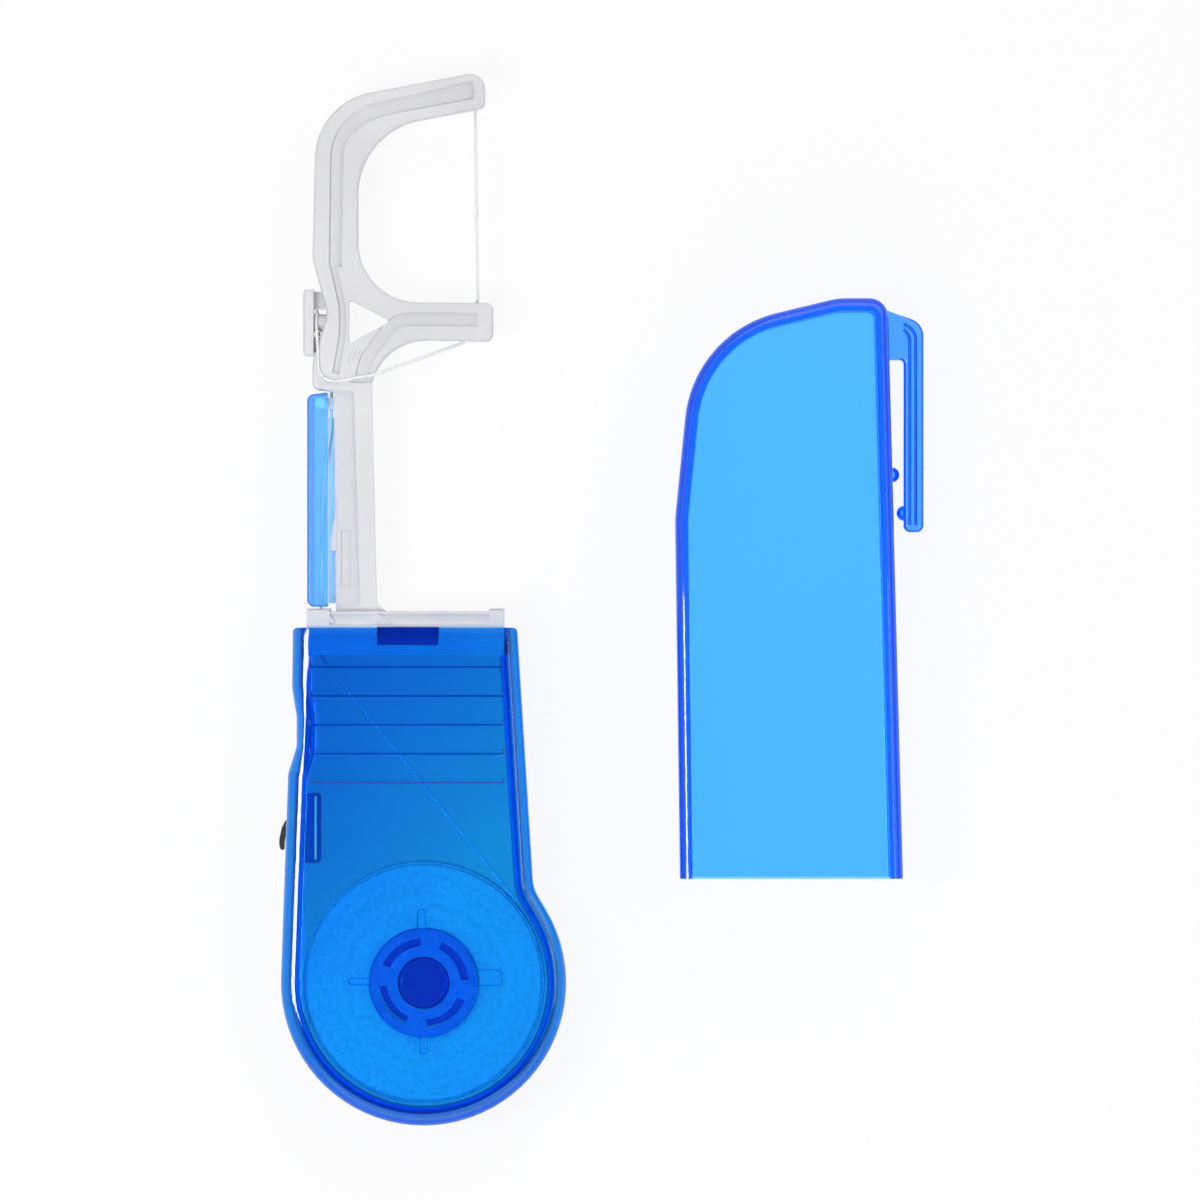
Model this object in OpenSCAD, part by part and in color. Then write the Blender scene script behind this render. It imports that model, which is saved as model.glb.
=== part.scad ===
// Refillable dental floss holder with a fork head, a locking lever and a clip-on cap.
// It lies on its back: X to the right, Y towards the fork, Z towards the viewer.
// The origin is on the axis of the floss roll, in the plane of the housing's back face.

/* [Housing] */
// Radius of the round end that holds the floss roll
grip_r = 17.8; // [17.4:0.2:19]
// Distance from the roll's axis to the mouth of the housing
mouth_y = 44.3; // [43:0.5:48]
// Distance from the roll's axis to the left edge of the mouth
mouth_left = 16.3; // [16:0.1:16.6]
// Distance from the roll's axis to the right edge of the mouth
mouth_right = 11.7; // [11.4:0.1:12.4]
// Thickness of the closed housing
housing_t = 13; // [13:0.5:15]
// Thickness of the side walls
side_wall = 1.6; // [1.3:0.1:1.8]
// Thickness of the front and back faces
face_t = 1.5; // [1.2:0.1:1.7]
// Radius of the rounded long edges
edge_r = 1.4; // [1.2:0.1:1.8]
// Height of the parting line between the two shells
split_z = 8.4; // [8:0.1:9]
// Lean of the right side where it leaves the round end, in degrees
lean = 30.7; // [26:0.1:34]

/* [Grip bars] */
// Number of raised bars on the front
bar_count = 5; // [3:1:6]
// Spacing of the bars
bar_pitch = 3.6; // [3:0.1:4]
// Width of one bar
bar_w = 0.8; // [0.6:0.1:1.2]
// Height of a bar over the front face
bar_h = 0.3; // [0.2:0.1:0.5]
// Distance from the mouth to the first bar
bar_start = 4.6; // [4:0.1:6]

/* [Roll] */
// Clear space between a full roll and the side wall
roll_gap = 1.1; // [0.9:0.1:2]
// Width of the wound floss
wind_w = 7.6; // [6:0.2:7.8]
// Outer radius of the plastic core of the roll
core_r = 6.8; // [6:0.1:7.4]
// Radius of the spindle post
post_r = 3.2; // [2.6:0.1:3.4]
// Thickness of the floss
floss_d = 0.4; // [0.3:0.05:0.5]
// Clear space between two turns of the outer layer
turn_gap = 0.45; // [0.42:0.01:0.6]

/* [Head] */
// Width of the fork
fork_w = 22.6; // [21.6:0.2:23]
// Height of the fork over its foot
fork_h = 40; // [38:0.5:42]
// Thickness of the fork and the stem
head_t = 4; // [3.6:0.1:4.4]
// Length of the stem between the plug and the fork
stem_len = 27.2; // [26:0.2:29]
// Width of the stem at its foot
stem_w = 5; // [4.6:0.1:5.4]
// Thickness of the web inside the fork's grooves
web_t = 1.6; // [1.2:0.1:2]
// Length of the plug that stands out of the mouth
plug_out = 2.4; // [2:0.1:3]
// Length of the plug inside the mouth
plug_in = 3.4; // [3:0.1:4]

/* [Lever] */
// Width of the locking lever
lever_w = 3; // [2.8:0.1:3]
// Thickness of the lever, front to back
lever_t = 5; // [5:0.1:5.6]
// Thickness of the lever's walls
lever_wall = 0.8; // [0.6:0.05:0.8]
// Radius of the lever's hinge pin
pivot_r = 0.6; // [0.5:0.05:0.65]

/* [Cap] */
// Thickness of the cap's side walls
cap_wall = 1.4; // [1.2:0.05:1.45]
// Thickness of the cap's front and back faces
cap_face = 1.35; // [1.2:0.05:1.4]
// Radius of the cap's rounded edges
cap_edge_r = 1.2; // [0.8:0.1:1.4]
// Radius of the big round shoulder
shoulder_r = 15; // [13:0.5:16]
// Width of the pocket clip
clip_w = 6; // [5:0.5:8]
// Thickness of the clip's bar
clip_t = 2.5; // [2:0.1:3]
// Gap between the clip's bar and the cap
clip_gap = 1.45; // [1.3:0.05:2]
// Length of the clip
clip_len = 27; // [22:0.5:34]

/* [Cutter] */
// Thickness of the steel strip
steel_t = 0.45; // [0.3:0.05:0.5]
// Width of the steel strip
cutter_w = 4; // [3:0.2:4.4]
// Distance from the roll's axis to the top of the cutter
cutter_y = 23.4; // [22.6:0.2:24]

/* [Hidden] */
$fn = 48;
// One overrun for every cut, and the fits between the pieces
over = 2;
sink = 0.1;
seat_fit = 0.05;
spin_fit = 0.05;
lid_fit = 0.12;
cap_fit = 0.1;
axial_gap = 0.3;
arc_step = 9;
edge_steps = 4;
tiny = 0.01;
mid_z = housing_t / 2;

// Outline of the finger waist on the left, bottom to top: [x, y, radius] as shares of the mouth's left side
// and of its distance
waist_shares = [[1.037, 0.59, 0.24], [0.972, 0.665, 0.215], [0.972, 0.75, 0.215], [1.007, 0.83, 0.24]];
waist_x = -mouth_left * waist_shares[0][0];
waist_y = mouth_y * waist_shares[0][1];
// Lean of the left side, which runs from the round end to the finger waist, and its x at a height y
left_lean = 180 - atan2(waist_y, waist_x) - acos(grip_r / norm([waist_x, waist_y]));
function left_side(y) = -(grip_r - y * sin(left_lean)) / cos(left_lean);
shoulder_share = 0.77;
shoulder_x = grip_r * shoulder_share;
shoulder_fillet = 5;

// Lip and thickened rim of the front cover
lip_t = 0.7;
lip_h = 1;
rim_t = side_wall + lid_fit + lip_t;
past_mouth = mouth_y + over + rim_t;

// Reach of the grip bars to both sides, as shares of the mouth, and how deep they root in the face
bar_left_share = 0.855;
bar_right_share = 0.83;
bar_root = 0.7;

// Plug of the head, seated in the mouth
plug_left = mouth_left - side_wall - cap_fit;
plug_right = mouth_right - side_wall - cap_fit;
plug_t = housing_t - 2 * face_t - 2 * cap_fit;
plug_y = mouth_y - plug_in;
plug_top = mouth_y + plug_out;
block_h = 0.35;
block_w = 2.9;
small_block_w = 1.8;
recess_d = 0.9;
recess_lip = 0.35;
feed_x = -13;
feed_w = 1.2;
feed_t = 2;

// Stem
stem_left = 10.95;
stem_narrow = 0.6;
stem_rib_w = 2.1;
panel_d = 0.8;
gusset = 1.7;
stem_top = plug_top + stem_len;
panel_end = 1;
barb_w = 0.75;
barb_h = 6.3;
barb_share = 0.265;
barb_y = plug_top + barb_share * stem_len;
slot_w = 1.2;
slot_h = 7.2;
slot_d = 0.3;
slot_share = 0.0956;
slot_y = plug_top + slot_share * stem_len;

// Fork: place of its foot, corners [x, y, radius] as shares of its width and height
fork_x = -13.95;
fork_y = stem_top;
fork_shares = [
    [0.223, -0.035, 0], [0.319, -0.035, 0], [0.319, 0.161, 0.31],
    [1, 0.154, 0.04], [1, 0.275, 0.04],
    [0.253, 0.277, 0.336], [0.253, 0.81, 0.412],
    [0.956, 0.884, 0.04], [0.956, 1, 0.084],
    [0.02, 0.9, 0.376], [0, 0.41, 0.155], [0.084, 0.242, 0.111],
    [0, 0.085, 0.133], [0, 0.005, 0.04], [0.117, -0.004, 0.066], [0.223, 0.021, 0]
];
window_shares = [[0.201, 0.147, 0.013], [0.431, 0.217, 0.013], [0.201, 0.287, 0.013]];
groove_shares = [
    [0.865, 0.93, 0], [0.126, 0.851, 0.27], [0.111, 0.415, 0.133],
    [0.142, 0.307, 0.133], [0.142, 0.165, 0.133], [0.142, 0.1, 0]
];
back_groove_shares = [
    [0.865, 0.93, 0], [0.126, 0.851, 0.27], [0.111, 0.415, 0.133],
    [0.142, 0.307, 0.133], [0.142, 0.165, 0.133], [0.104, -0.06, 0]
];
arm_groove_shares = [[0.923, 0.224, 0], [0.423, 0.217, 0.199], [0.268, 0.09, 0.088], [0.266, 0.04, 0]];
groove_w = 1.4;
groove_d = (head_t - web_t) / 2;
// Slots that carry the floss through the two tips, as shares of the fork: two ends each
tip_slot_shares = [[0.865, 0.93], [0.92, 0.86]];
arm_slot_shares = [[0.918, 0.3], [0.83, 0.13]];
tip_slot_w = 0.8;
tip_slot_over = 0.5;
tip_slot_d = head_t / 2 + tip_slot_over;

// Cleat on the spine, for the used end of the floss
cleat_x = -15.1;
cleat_t = 1.3;
cleat_h = 8.3;
cleat_w = 5;
cleat_share = 0.2125;
cleat_y = fork_y + cleat_share * fork_h;
neck_r = 1.1;
neck_len = 2;

// Lever: right edge, ends, hinge and catch
lever_x = -14.6;
lever_gap = 0.2;
lever_y = plug_top + lever_gap;
lever_top = stem_top - lever_gap;
lever_round = 0.9;
lever_slant = 0.3;
lever_small_round = 0.25;
boss_r = 0.85;
boss_gap = 0.1;
pivot = [lever_x + lever_wall + boss_r + boss_gap, stem_top - 1.6];
boss_t = lever_t - 2 * lever_wall - 2 * boss_gap;
arm_w = 1.6;
arm_t = 1.6;

// Roll: core, winding and their heights over the back face
roll_r = grip_r - side_wall - roll_gap;
core_z = face_t + axial_gap;
core_short = 0.6;
core_h = housing_t - 2 * face_t - 2 * axial_gap - core_short;
core_wall = 1;
hub_wall = 1.1;
web_h = 1.4;
hole_count = 4;
hole_span = 62;
hole_lip = 0.15;
wind_z = core_z + (core_h - wind_w) / 2;
turn_pitch = floss_d + turn_gap;
ring_count = 24;
turn_r = roll_r - floss_d / 2;
drum_r = turn_r * cos(180 / ring_count) - floss_d / 2 - seat_fit;
most_loops = 24;
loops = min(most_loops, floor((wind_w - floss_d) / turn_pitch));
leave_angle = 38;
turn_z = wind_z + wind_w / 2 + loops * turn_pitch / 2;
turn_last = loops * ring_count;

// Route of the floss from the roll to the cleat: points [x, y, z], each with the length of its bend.
// The first part runs through the plug and the lever, the second round the fork as shares of it
lead_angle = leave_angle + 2.4;
lead_r = roll_r + floss_d / 2 + seat_fit;
stem_route = [
    [[lead_r * cos(lead_angle), lead_r * sin(lead_angle), turn_z - sink], 0],
    [[-12.9, 40.6, 7.0], 1.2], [[-12.9, 47.5, 6.2], 1.5], [[-12.7, 62, 5.9], 3],
    [[-11.62, 70, 5.35], 1.5], [[-11.62, 74, 5.3], 1.5]
];
fork_route_shares = [
    [0.135, 0.1525, -0.3, 0.13], [0.14, 0.315, -0.3, 0.11], [0.113, 0.4275, -0.3, 0.11],
    [0.126, 0.8475, -0.3, 0.22], [0.865, 0.93, -0.3, 0.035], [0.9, 0.89, -0.025, 0.027],
    [0.914, 0.2775, -0.025, 0.027], [0.843, 0.1525, 0.025, 0.027], [0.361, 0.0525, 0.6, 0.044],
    [0.095, 0.025, 0.575, 0.053], [0.033, 0.0575, 0.575, 0.035], [0.029, 0.1425, 0.5875, 0.035]
];
route = concat(stem_route, [for (s = fork_route_shares)
    [[fork_x + s[0] * fork_w, fork_y + s[1] * fork_h, mid_z + s[2] * head_t], s[3] * fork_w]]);
bend_steps = 3;
wrap_rings = 8;
wrap_r = (neck_r + floss_d / 2 + seat_fit) / cos(180 / wrap_rings);
wrap_start = -13.5;
wrap_pitch = 0.45;

// Post and its socket, ribs inside the cover
post_top = core_z + core_h;
post_chamfer = 0.5;
socket_wall = 0.9;
socket_h = 0.5;
rib_w = 1.2;
rib_out = 2.6;
post_foot_r = post_r + hub_wall;

// Tab that keys the plug to both shells
tab_x = -5.7;
tab_w = 7.5;
tab_h = 1.1;
tab_ramp = 0.6;
tab_y = mouth_y - 2.1;
tab_len = 1;

// Cutter and its pocket
pocket_w = 2.9;
pocket_wall = 0.8;
cutter_len = 8.3;
cutter_bottom = cutter_y - cutter_len;
cutter_z = split_z - lip_h - sink - cutter_w;
cutter_x = left_side(cutter_y) + side_wall + seat_fit;
window_drop = 3.6;
window_y = cutter_y - window_drop;
window_h = 1;
// Barb outside the wall: its stand-off, reach and drop, and where it bends back, as shares of these
barb_stand = 0.25;
barb_x = left_side(window_y) - barb_stand;
barb_out = 0.75;
barb_drop = 3.3;
barb_bend_share = 0.75;
barb_tip_share = 0.8;

// Cap, drawn where it sits on the head and then moved aside
cap_move = [48.1, -31.3, 0];
tip_gap = 1.4;
cap_len = plug_out + stem_len + fork_h + tip_gap + cap_wall;
cap_step = 0.15;
cap_left = mouth_left - cap_step;
cap_right = mouth_right;
cap_bulge = 0.6;
bulge_share = 0.62;
cap_top = mouth_y + cap_len;
cap_narrow = 1.9;
shoulder_in = 1.7;
shoulder_drop = 4.35;
crown_w = 7.1;
clip_round = 2.2;
clip_end_round = 0.9;
clip_drop = 2.2;
bridge_h = 4.4;
dome_r = 0.95;
dome_drop = 22;
dome_y = mouth_y + cap_len - dome_drop;
lug_r = 0.95;
lug_drop = 4.8;
lug_y = dome_y - lug_drop;

// Direction of v, and v turned by angle a
function unit(v) = v / norm(v);
function turned(v, a) = [v.x * cos(a) - v.y * sin(a), v.x * sin(a) + v.y * cos(a)];
function flat(p) = [p.x, p.y];

// Points that round the corner q, with radius q.z, on the way from p to s
function corner(p, q, s) =
    let (
        a = unit(flat(q) - flat(p)),
        b = unit(flat(s) - flat(q)),
        bend = atan2(a.x * b.y - a.y * b.x, a * b),
        side = sign(bend),
        start = flat(q) - a * q.z * tan(abs(bend) / 2),
        centre = start + q.z * side * [-a.y, a.x],
        n = max(1, ceil(abs(bend) / arc_step))
    )
    q.z == 0 ? [flat(q)] : [for (i = [0 : n]) centre + turned(start - centre, bend * i / n)];

// Closed outline with every corner [x, y, radius] rounded, without double points
function rounded(pts) =
    let (
        n = len(pts),
        all = [for (i = [0 : n - 1]) each corner(pts[(i + n - 1) % n], pts[i], pts[(i + 1) % n])],
        m = len(all)
    )
    [for (i = [0 : m - 1]) if (norm(all[i] - all[(i + m - 1) % m]) > tiny) all[i]];

// Open path with its inner corners rounded, without double points
function rounded_path(pts) =
    let (
        n = len(pts),
        all = concat([flat(pts[0])],
                     [for (i = [1 : n - 2]) each corner(pts[i - 1], pts[i], pts[i + 1])],
                     [flat(pts[n - 1])])
    )
    [for (i = [0 : len(all) - 1]) if (i == 0 || norm(all[i] - all[max(i - 1, 0)]) > tiny) all[i]];

// Normal at point i of a run of points, on its left side, as long as the mitre asks
function mitre(a, b) =
    let (na = [-a.y, a.x], nb = [-b.y, b.x], m = unit(na + nb)) m / (m * na);

// Counter-clockwise outline moved inwards by d
function inset(pts, d) =
    let (n = len(pts))
    [for (i = [0 : n - 1])
        pts[i] + d * mitre(unit(pts[i] - pts[(i + n - 1) % n]), unit(pts[(i + 1) % n] - pts[i]))];

// Outline of a band of width w along an open path
function band(path, w) =
    let (
        n = len(path),
        ways = [for (i = [0 : n - 2]) unit(path[i + 1] - path[i])],
        sides = [for (i = [0 : n - 1]) mitre(ways[max(i - 1, 0)], ways[min(i, n - 2)])]
    )
    concat([for (i = [0 : n - 1]) path[i] - sides[i] * w / 2],
           [for (i = [n - 1 : -1 : 0]) path[i] + sides[i] * w / 2]);

// Solid through levels [z, inset] of one counter-clockwise outline
module stacked(outline, levels) {
    n = len(outline);
    m = len(levels);
    points = [for (l = levels) each [for (p = inset(outline, l[1])) [p.x, p.y, l[0]]]];
    bottom = [for (i = [0 : n - 1]) i];
    top = [for (i = [n - 1 : -1 : 0]) (m - 1) * n + i];
    sides = [for (k = [0 : m - 2]) for (i = [0 : n - 1])
        let (j = (i + 1) % n)
        each [[k * n + i, (k + 1) * n + i, (k + 1) * n + j], [k * n + i, (k + 1) * n + j, k * n + j]]];
    polyhedron(points = points, faces = concat([bottom, top], sides), convexity = 8);
}

// Levels that round an edge of radius r at height z, going up (way 1) or coming from below (way -1)
function edge_levels(z, r, way) =
    [for (i = [0 : edge_steps])
        let (a = way > 0 ? 90 * i / edge_steps : 90 - 90 * i / edge_steps)
        [z - way * r * (1 - sin(a)), r * (1 - cos(a))]];

// Prism of an outline between two heights
module prism(outline, z0, z1) {
    translate([0, 0, z0]) linear_extrude(z1 - z0) polygon(outline);
}

// Box between two corners
module block(a, b) {
    translate(a) cube(b - a);
}

// Side directions carried from ring to ring along the ways, so that the rings don't twist
function carried(ways, i, u) =
    let (w = ways[i], v = unit(u - (u * w) * w))
    i == len(ways) - 1 ? [v] : concat([v], carried(ways, i + 1, v));

// Tube of radius r swept along points, with the given number of sides
module swept(path, r, side_count) {
    n = len(path);
    ways = [for (i = [0 : n - 1]) unit(path[min(i + 1, n - 1)] - path[max(i - 1, 0)])];
    ups = carried(ways, 0, abs(ways[0].z) > 0.9 ? [1, 0, 0] : [0, 0, 1]);
    points = [for (i = [0 : n - 1]) for (k = [0 : side_count - 1])
        let (a = 360 * k / side_count) path[i] + r * (ups[i] * cos(a) + cross(ways[i], ups[i]) * sin(a))];
    start = [for (k = [0 : side_count - 1]) k];
    end = [for (k = [side_count - 1 : -1 : 0]) (n - 1) * side_count + k];
    skin = [for (i = [0 : n - 2]) for (k = [0 : side_count - 1])
        let (j = (k + 1) % side_count, a = i * side_count, b = a + side_count)
        each [[a + k, b + j, a + j], [a + k, b + k, b + j]]];
    polyhedron(points = points, faces = concat([start, end], skin), convexity = 8);
}

// Outline of the housing, carried on past the mouth where it is cut off square
function on_waist(share) = [-mouth_left * share[0], mouth_y * share[1], mouth_left * share[2]];
housing_outline = rounded([
    [-grip_r * (1 + sin(left_lean)) / cos(left_lean), -grip_r, grip_r],
    [grip_r * (1 + sin(lean)) / cos(lean), -grip_r, grip_r],
    [shoulder_x, (grip_r - shoulder_x * cos(lean)) / sin(lean), shoulder_fillet],
    [mouth_right, mouth_y, 0],
    [mouth_right, past_mouth, 0],
    [-mouth_left, past_mouth, 0],
    [-mouth_left, mouth_y, 0],
    for (i = [3 : -1 : 0]) on_waist(waist_shares[i])
]);

// Everything past the mouth, to be cut away
module past_the_mouth() {
    block([-2 * grip_r, mouth_y, -over], [2 * grip_r, past_mouth + over, housing_t + over]);
}

// Room for the plug between the shells
module plug_room() {
    block([-plug_left - cap_fit, plug_y - cap_fit, face_t],
          [plug_right + cap_fit, past_mouth, housing_t - face_t]);
}

// Tab of a shell that stands into the plug's notch, drawn for the front, grown by g
module mouth_tab(g) {
    block([tab_x - g, tab_y + tab_len - g, housing_t - face_t - tab_h - g],
          [tab_x + tab_w + g, mouth_y + g, housing_t - face_t + sink]);
    block([tab_x - g, tab_y - g, housing_t - face_t - tab_ramp - g],
          [tab_x + tab_w + g, tab_y + tab_len + g, housing_t - face_t + sink]);
}

// The same shape at the back
module turned_to_back() {
    translate([0, 0, mid_z]) mirror([0, 0, 1]) translate([0, 0, -mid_z]) children();
}

// Back half with the spindle post, the cutter's pocket and its window
module rear_shell() {
    color([0.03, 0.40, 0.88, 0.7]) difference() {
        union() {
            difference() {
                stacked(housing_outline, concat(edge_levels(0, edge_r, -1), [[split_z, 0]]));
                prism(inset(housing_outline, side_wall), face_t, split_z + over);
            }
            translate([0, 0, face_t - sink])
                cylinder(r = post_r, h = post_top - post_chamfer - face_t + sink);
            translate([0, 0, post_top - post_chamfer])
                cylinder(r1 = post_r, r2 = post_r - post_chamfer, h = post_chamfer);
            translate([0, 0, face_t - sink]) cylinder(r = post_foot_r, h = axial_gap / 2 + sink);
            turned_to_back() mouth_tab(0);
            cutter_pocket();
        }
        past_the_mouth();
        cutter_window();
        cutter_seat();
    }
}

// Ribs that hold the cutter against the left wall
module cutter_pocket() {
    inner_x = waist_x + side_wall + pocket_w;
    outer_x = waist_x + side_wall / 2;
    block([inner_x - pocket_wall, cutter_bottom - pocket_wall / 2, face_t - sink],
          [inner_x, cutter_y + pocket_wall / 2, split_z - lip_h - lid_fit]);
    for (y = [cutter_bottom, cutter_y])
        block([outer_x, y - pocket_wall / 2, face_t - sink],
              [inner_x - sink, y + pocket_wall / 2, split_z - lip_h - lid_fit]);
}

// Slots in the pocket's ends that take the strip
module cutter_seat() {
    block([cutter_x - seat_fit, cutter_bottom - seat_fit, cutter_z - seat_fit],
          [cutter_x + steel_t + seat_fit, cutter_y + seat_fit, split_z + over]);
}

// Window in the left wall for the barb
module cutter_window() {
    block([-grip_r - over, window_y - window_h / 2, cutter_z - seat_fit],
          [cutter_x + steel_t / 2, window_y + window_h / 2, cutter_z + cutter_w + seat_fit]);
}

// Front half: a rimmed cover that lifts off, with the grip bars and the ribs round the roll
module front_cover() {
    color([0.05, 0.46, 0.93, 0.6]) difference() {
        union() {
            difference() {
                stacked(housing_outline, concat([[split_z, 0]], edge_levels(housing_t, edge_r, 1)));
                prism(inset(housing_outline, rim_t), split_z - over, housing_t - face_t);
            }
            difference() {
                prism(inset(housing_outline, side_wall + lid_fit), split_z - lip_h, split_z + sink);
                prism(inset(housing_outline, rim_t), split_z - lip_h - over, split_z + over);
            }
            grip_bars();
            cover_ribs();
        }
        past_the_mouth();
        plug_room();
    }
    color([0.02, 0.25, 0.85, 0.8]) mouth_tab(0);
}

module grip_bars() {
    left = -bar_left_share * mouth_left - bar_w / 2;
    right = bar_right_share * mouth_right + bar_w / 2;
    for (i = [0 : bar_count - 1]) translate([0, mouth_y - bar_start - i * bar_pitch - bar_w / 2, 0])
        prism(rounded([[left, 0, bar_w / 2], [right, 0, bar_w / 2], [right, bar_w, bar_w / 2],
                       [left, bar_w, bar_w / 2]]), housing_t - bar_root, housing_t + bar_h);
}

// Socket round the post's end and four ribs in a cross
module cover_ribs() {
    rib_z = housing_t - face_t - socket_h;
    translate([0, 0, rib_z]) difference() {
        cylinder(r = core_r, h = socket_h + sink);
        translate([0, 0, -over]) cylinder(r = core_r - socket_wall, h = socket_h + over);
    }
    for (a = [0 : 90 : 270]) rotate([0, 0, a])
        block([core_r - socket_wall / 2, -rib_w / 2, rib_z],
              [core_r + rib_out, rib_w / 2, housing_t - face_t + sink]);
}

// Corners given as shares of the fork, in real places
function on_fork(shares) =
    [for (s = shares) [fork_x + s[0] * fork_w, fork_y + s[1] * fork_h, len(s) > 2 ? s[2] * fork_w : 0]];

// Prism that cuts into the front (way 1) or the back (way -1) of the head, d deep
module face_cut(outline, d, way) {
    z = mid_z + way * head_t / 2;
    prism(outline, way > 0 ? z - d : z - over, way > 0 ? z + over : z + d);
}

// Fork, stem and plug, one moulding
module floss_head() {
    color("whitesmoke") {
        difference() {
            union() {
                fork_blank();
                stem_blank();
                head_plug();
                cleat();
                lever_arm();
                stem_barb();
            }
            feed_slot();
        }
    }
}

module fork_blank() {
    difference() {
        prism(rounded(on_fork(fork_shares)), mid_z - head_t / 2, mid_z + head_t / 2);
        prism(rounded(on_fork(window_shares)), mid_z - head_t, mid_z + head_t);
        face_cut(band(rounded_path(on_fork(groove_shares)), groove_w), groove_d, 1);
        face_cut(band(rounded_path(on_fork(arm_groove_shares)), groove_w), groove_d, 1);
        face_cut(band(rounded_path(on_fork(back_groove_shares)), groove_w), groove_d, -1);
        face_cut(band([for (p = on_fork(tip_slot_shares)) flat(p)], tip_slot_w), tip_slot_d, -1);
        face_cut(band([for (p = on_fork(arm_slot_shares)) flat(p)], tip_slot_w), tip_slot_d, -1);
    }
}

// Stem with a raised rib on its right and a thinner panel on its left
module stem_blank() {
    left = -stem_left;
    right = left + stem_w;
    top = stem_top + panel_end;
    rib_x = right - stem_rib_w;
    panel = [[left - over, plug_top + block_h], [rib_x, plug_top + block_h],
             [rib_x - stem_narrow, top + over], [left - over, top + over]];
    difference() {
        prism([[left, plug_top - over], [right + gusset + over, plug_top - over],
               [right, plug_top + gusset], [right - stem_narrow, top], [left - stem_narrow / 2, top]],
              mid_z - head_t / 2, mid_z + head_t / 2);
        for (way = [-1, 1]) intersection() {
            face_cut(panel, panel_d, way);
            block([left - over, plug_top + block_h, -over], [right, stem_top, housing_t + over]);
        }
        face_cut([[left + slot_w / 2, slot_y], [left + slot_w * 3 / 2, slot_y],
                  [left + slot_w * 3 / 2, slot_y + slot_h], [left + slot_w / 2, slot_y + slot_h]],
                 panel_d + slot_d, 1);
    }
}

// Ramp on the stem's edge, gripped between the lever's cheeks
module stem_barb() {
    left = -stem_left;
    prism([[left + sink, barb_y], [left + sink, barb_y + barb_h], [left - barb_w, barb_y + barb_w],
           [left - barb_w, barb_y]],
          mid_z - boss_t / 2, mid_z + boss_t / 2);
}

// Plug with two raised end blocks, shallow panels and the notches for the shells' tabs
module head_plug() {
    z0 = mid_z - plug_t / 2;
    z1 = mid_z + plug_t / 2;
    difference() {
        union() {
            block([-plug_left, plug_y, z0], [plug_right, plug_top - block_h, z1]);
            block([-plug_left, plug_y, z0], [-plug_left + block_w, plug_top, z1]);
            block([plug_right - small_block_w, plug_y, z0], [plug_right, plug_top, z1]);
        }
        block([-plug_left + block_w, mouth_y + recess_lip, z1 - recess_d],
              [plug_right - small_block_w, plug_top - block_h - recess_lip, z1 + over]);
        block([-plug_left + block_w, mouth_y + recess_lip, z0 - over],
              [plug_right - small_block_w, plug_top - block_h - recess_lip, z0 + recess_d]);
        mouth_tab(cap_fit);
        turned_to_back() mouth_tab(cap_fit);
    }
}

// Slot through the plug for the floss
module feed_slot() {
    block([feed_x - feed_w / 2, plug_y - over, mid_z - feed_t / 2],
          [feed_x + feed_w / 2, plug_top + over / 2, mid_z + feed_t / 2]);
}

// Plate on a round neck, beside the spine
module cleat() {
    block([cleat_x, cleat_y - cleat_h / 2, mid_z - cleat_w / 2],
          [cleat_x + cleat_t, cleat_y + cleat_h / 2, mid_z + cleat_w / 2]);
    translate([cleat_x + cleat_t - sink, cleat_y, mid_z]) rotate([0, 90, 0])
        cylinder(r = neck_r, h = neck_len + sink);
}

// Arm and boss with the two stub pins of the lever's hinge
module lever_arm() {
    block([pivot.x, pivot.y - arm_w / 2, mid_z - arm_t / 2],
          [-stem_left, pivot.y + arm_w / 2, mid_z + arm_t / 2]);
    translate([pivot.x, pivot.y, mid_z - boss_t / 2]) cylinder(r = boss_r, h = boss_t);
    translate([pivot.x, pivot.y, mid_z - lever_t / 2]) cylinder(r = pivot_r, h = lever_t);
}

// Channel-shaped lever that closes over the floss and the stem's edge
module lock_lever() {
    right = lever_x + lever_w;
    z0 = mid_z - lever_t / 2;
    color([0.30, 0.62, 0.98, 0.75]) difference() {
        prism(rounded([[lever_x, lever_y, lever_round], [right, lever_y, lever_small_round],
                       [right, lever_top, lever_small_round],
                       [lever_x, lever_top - lever_slant, lever_round]]), z0, z0 + lever_t);
        block([lever_x + lever_wall, lever_y - over, z0 + lever_wall],
              [right + over, lever_top + over, z0 + lever_t - lever_wall]);
        translate([pivot.x, pivot.y, z0 - over]) cylinder(r = pivot_r + spin_fit, h = lever_t + 2 * over);
    }
}

// Ring between two radii, as high as h
module ring(r_out, r_in, h) {
    difference() {
        cylinder(r = r_out, h = h);
        translate([0, 0, -over]) cylinder(r = r_in, h = h + 2 * over);
    }
}

// Plastic core: hub, web with kidney holes and outer tube
module roll_core() {
    bore_r = post_r + spin_fit;
    hub_r = bore_r + hub_wall;
    tube_r = core_r - core_wall;
    reach = 2 * core_r;
    color([0.55, 0.66, 0.80]) translate([0, 0, core_z]) difference() {
        ring(core_r, bore_r, core_h);
        translate([0, 0, -over]) ring(tube_r, hub_r, core_h - web_h + over);
        for (i = [0 : hole_count - 1]) rotate([0, 0, i * 360 / hole_count])
            translate([0, 0, core_h - web_h - over]) intersection() {
                ring(tube_r - hole_lip, hub_r + hole_lip, web_h + 2 * over);
                linear_extrude(web_h + 2 * over)
                    polygon([[0, 0], reach * [cos(hole_span / 2), -sin(hole_span / 2)],
                             reach * [cos(hole_span / 2), sin(hole_span / 2)]]);
            }
    }
}

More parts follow.
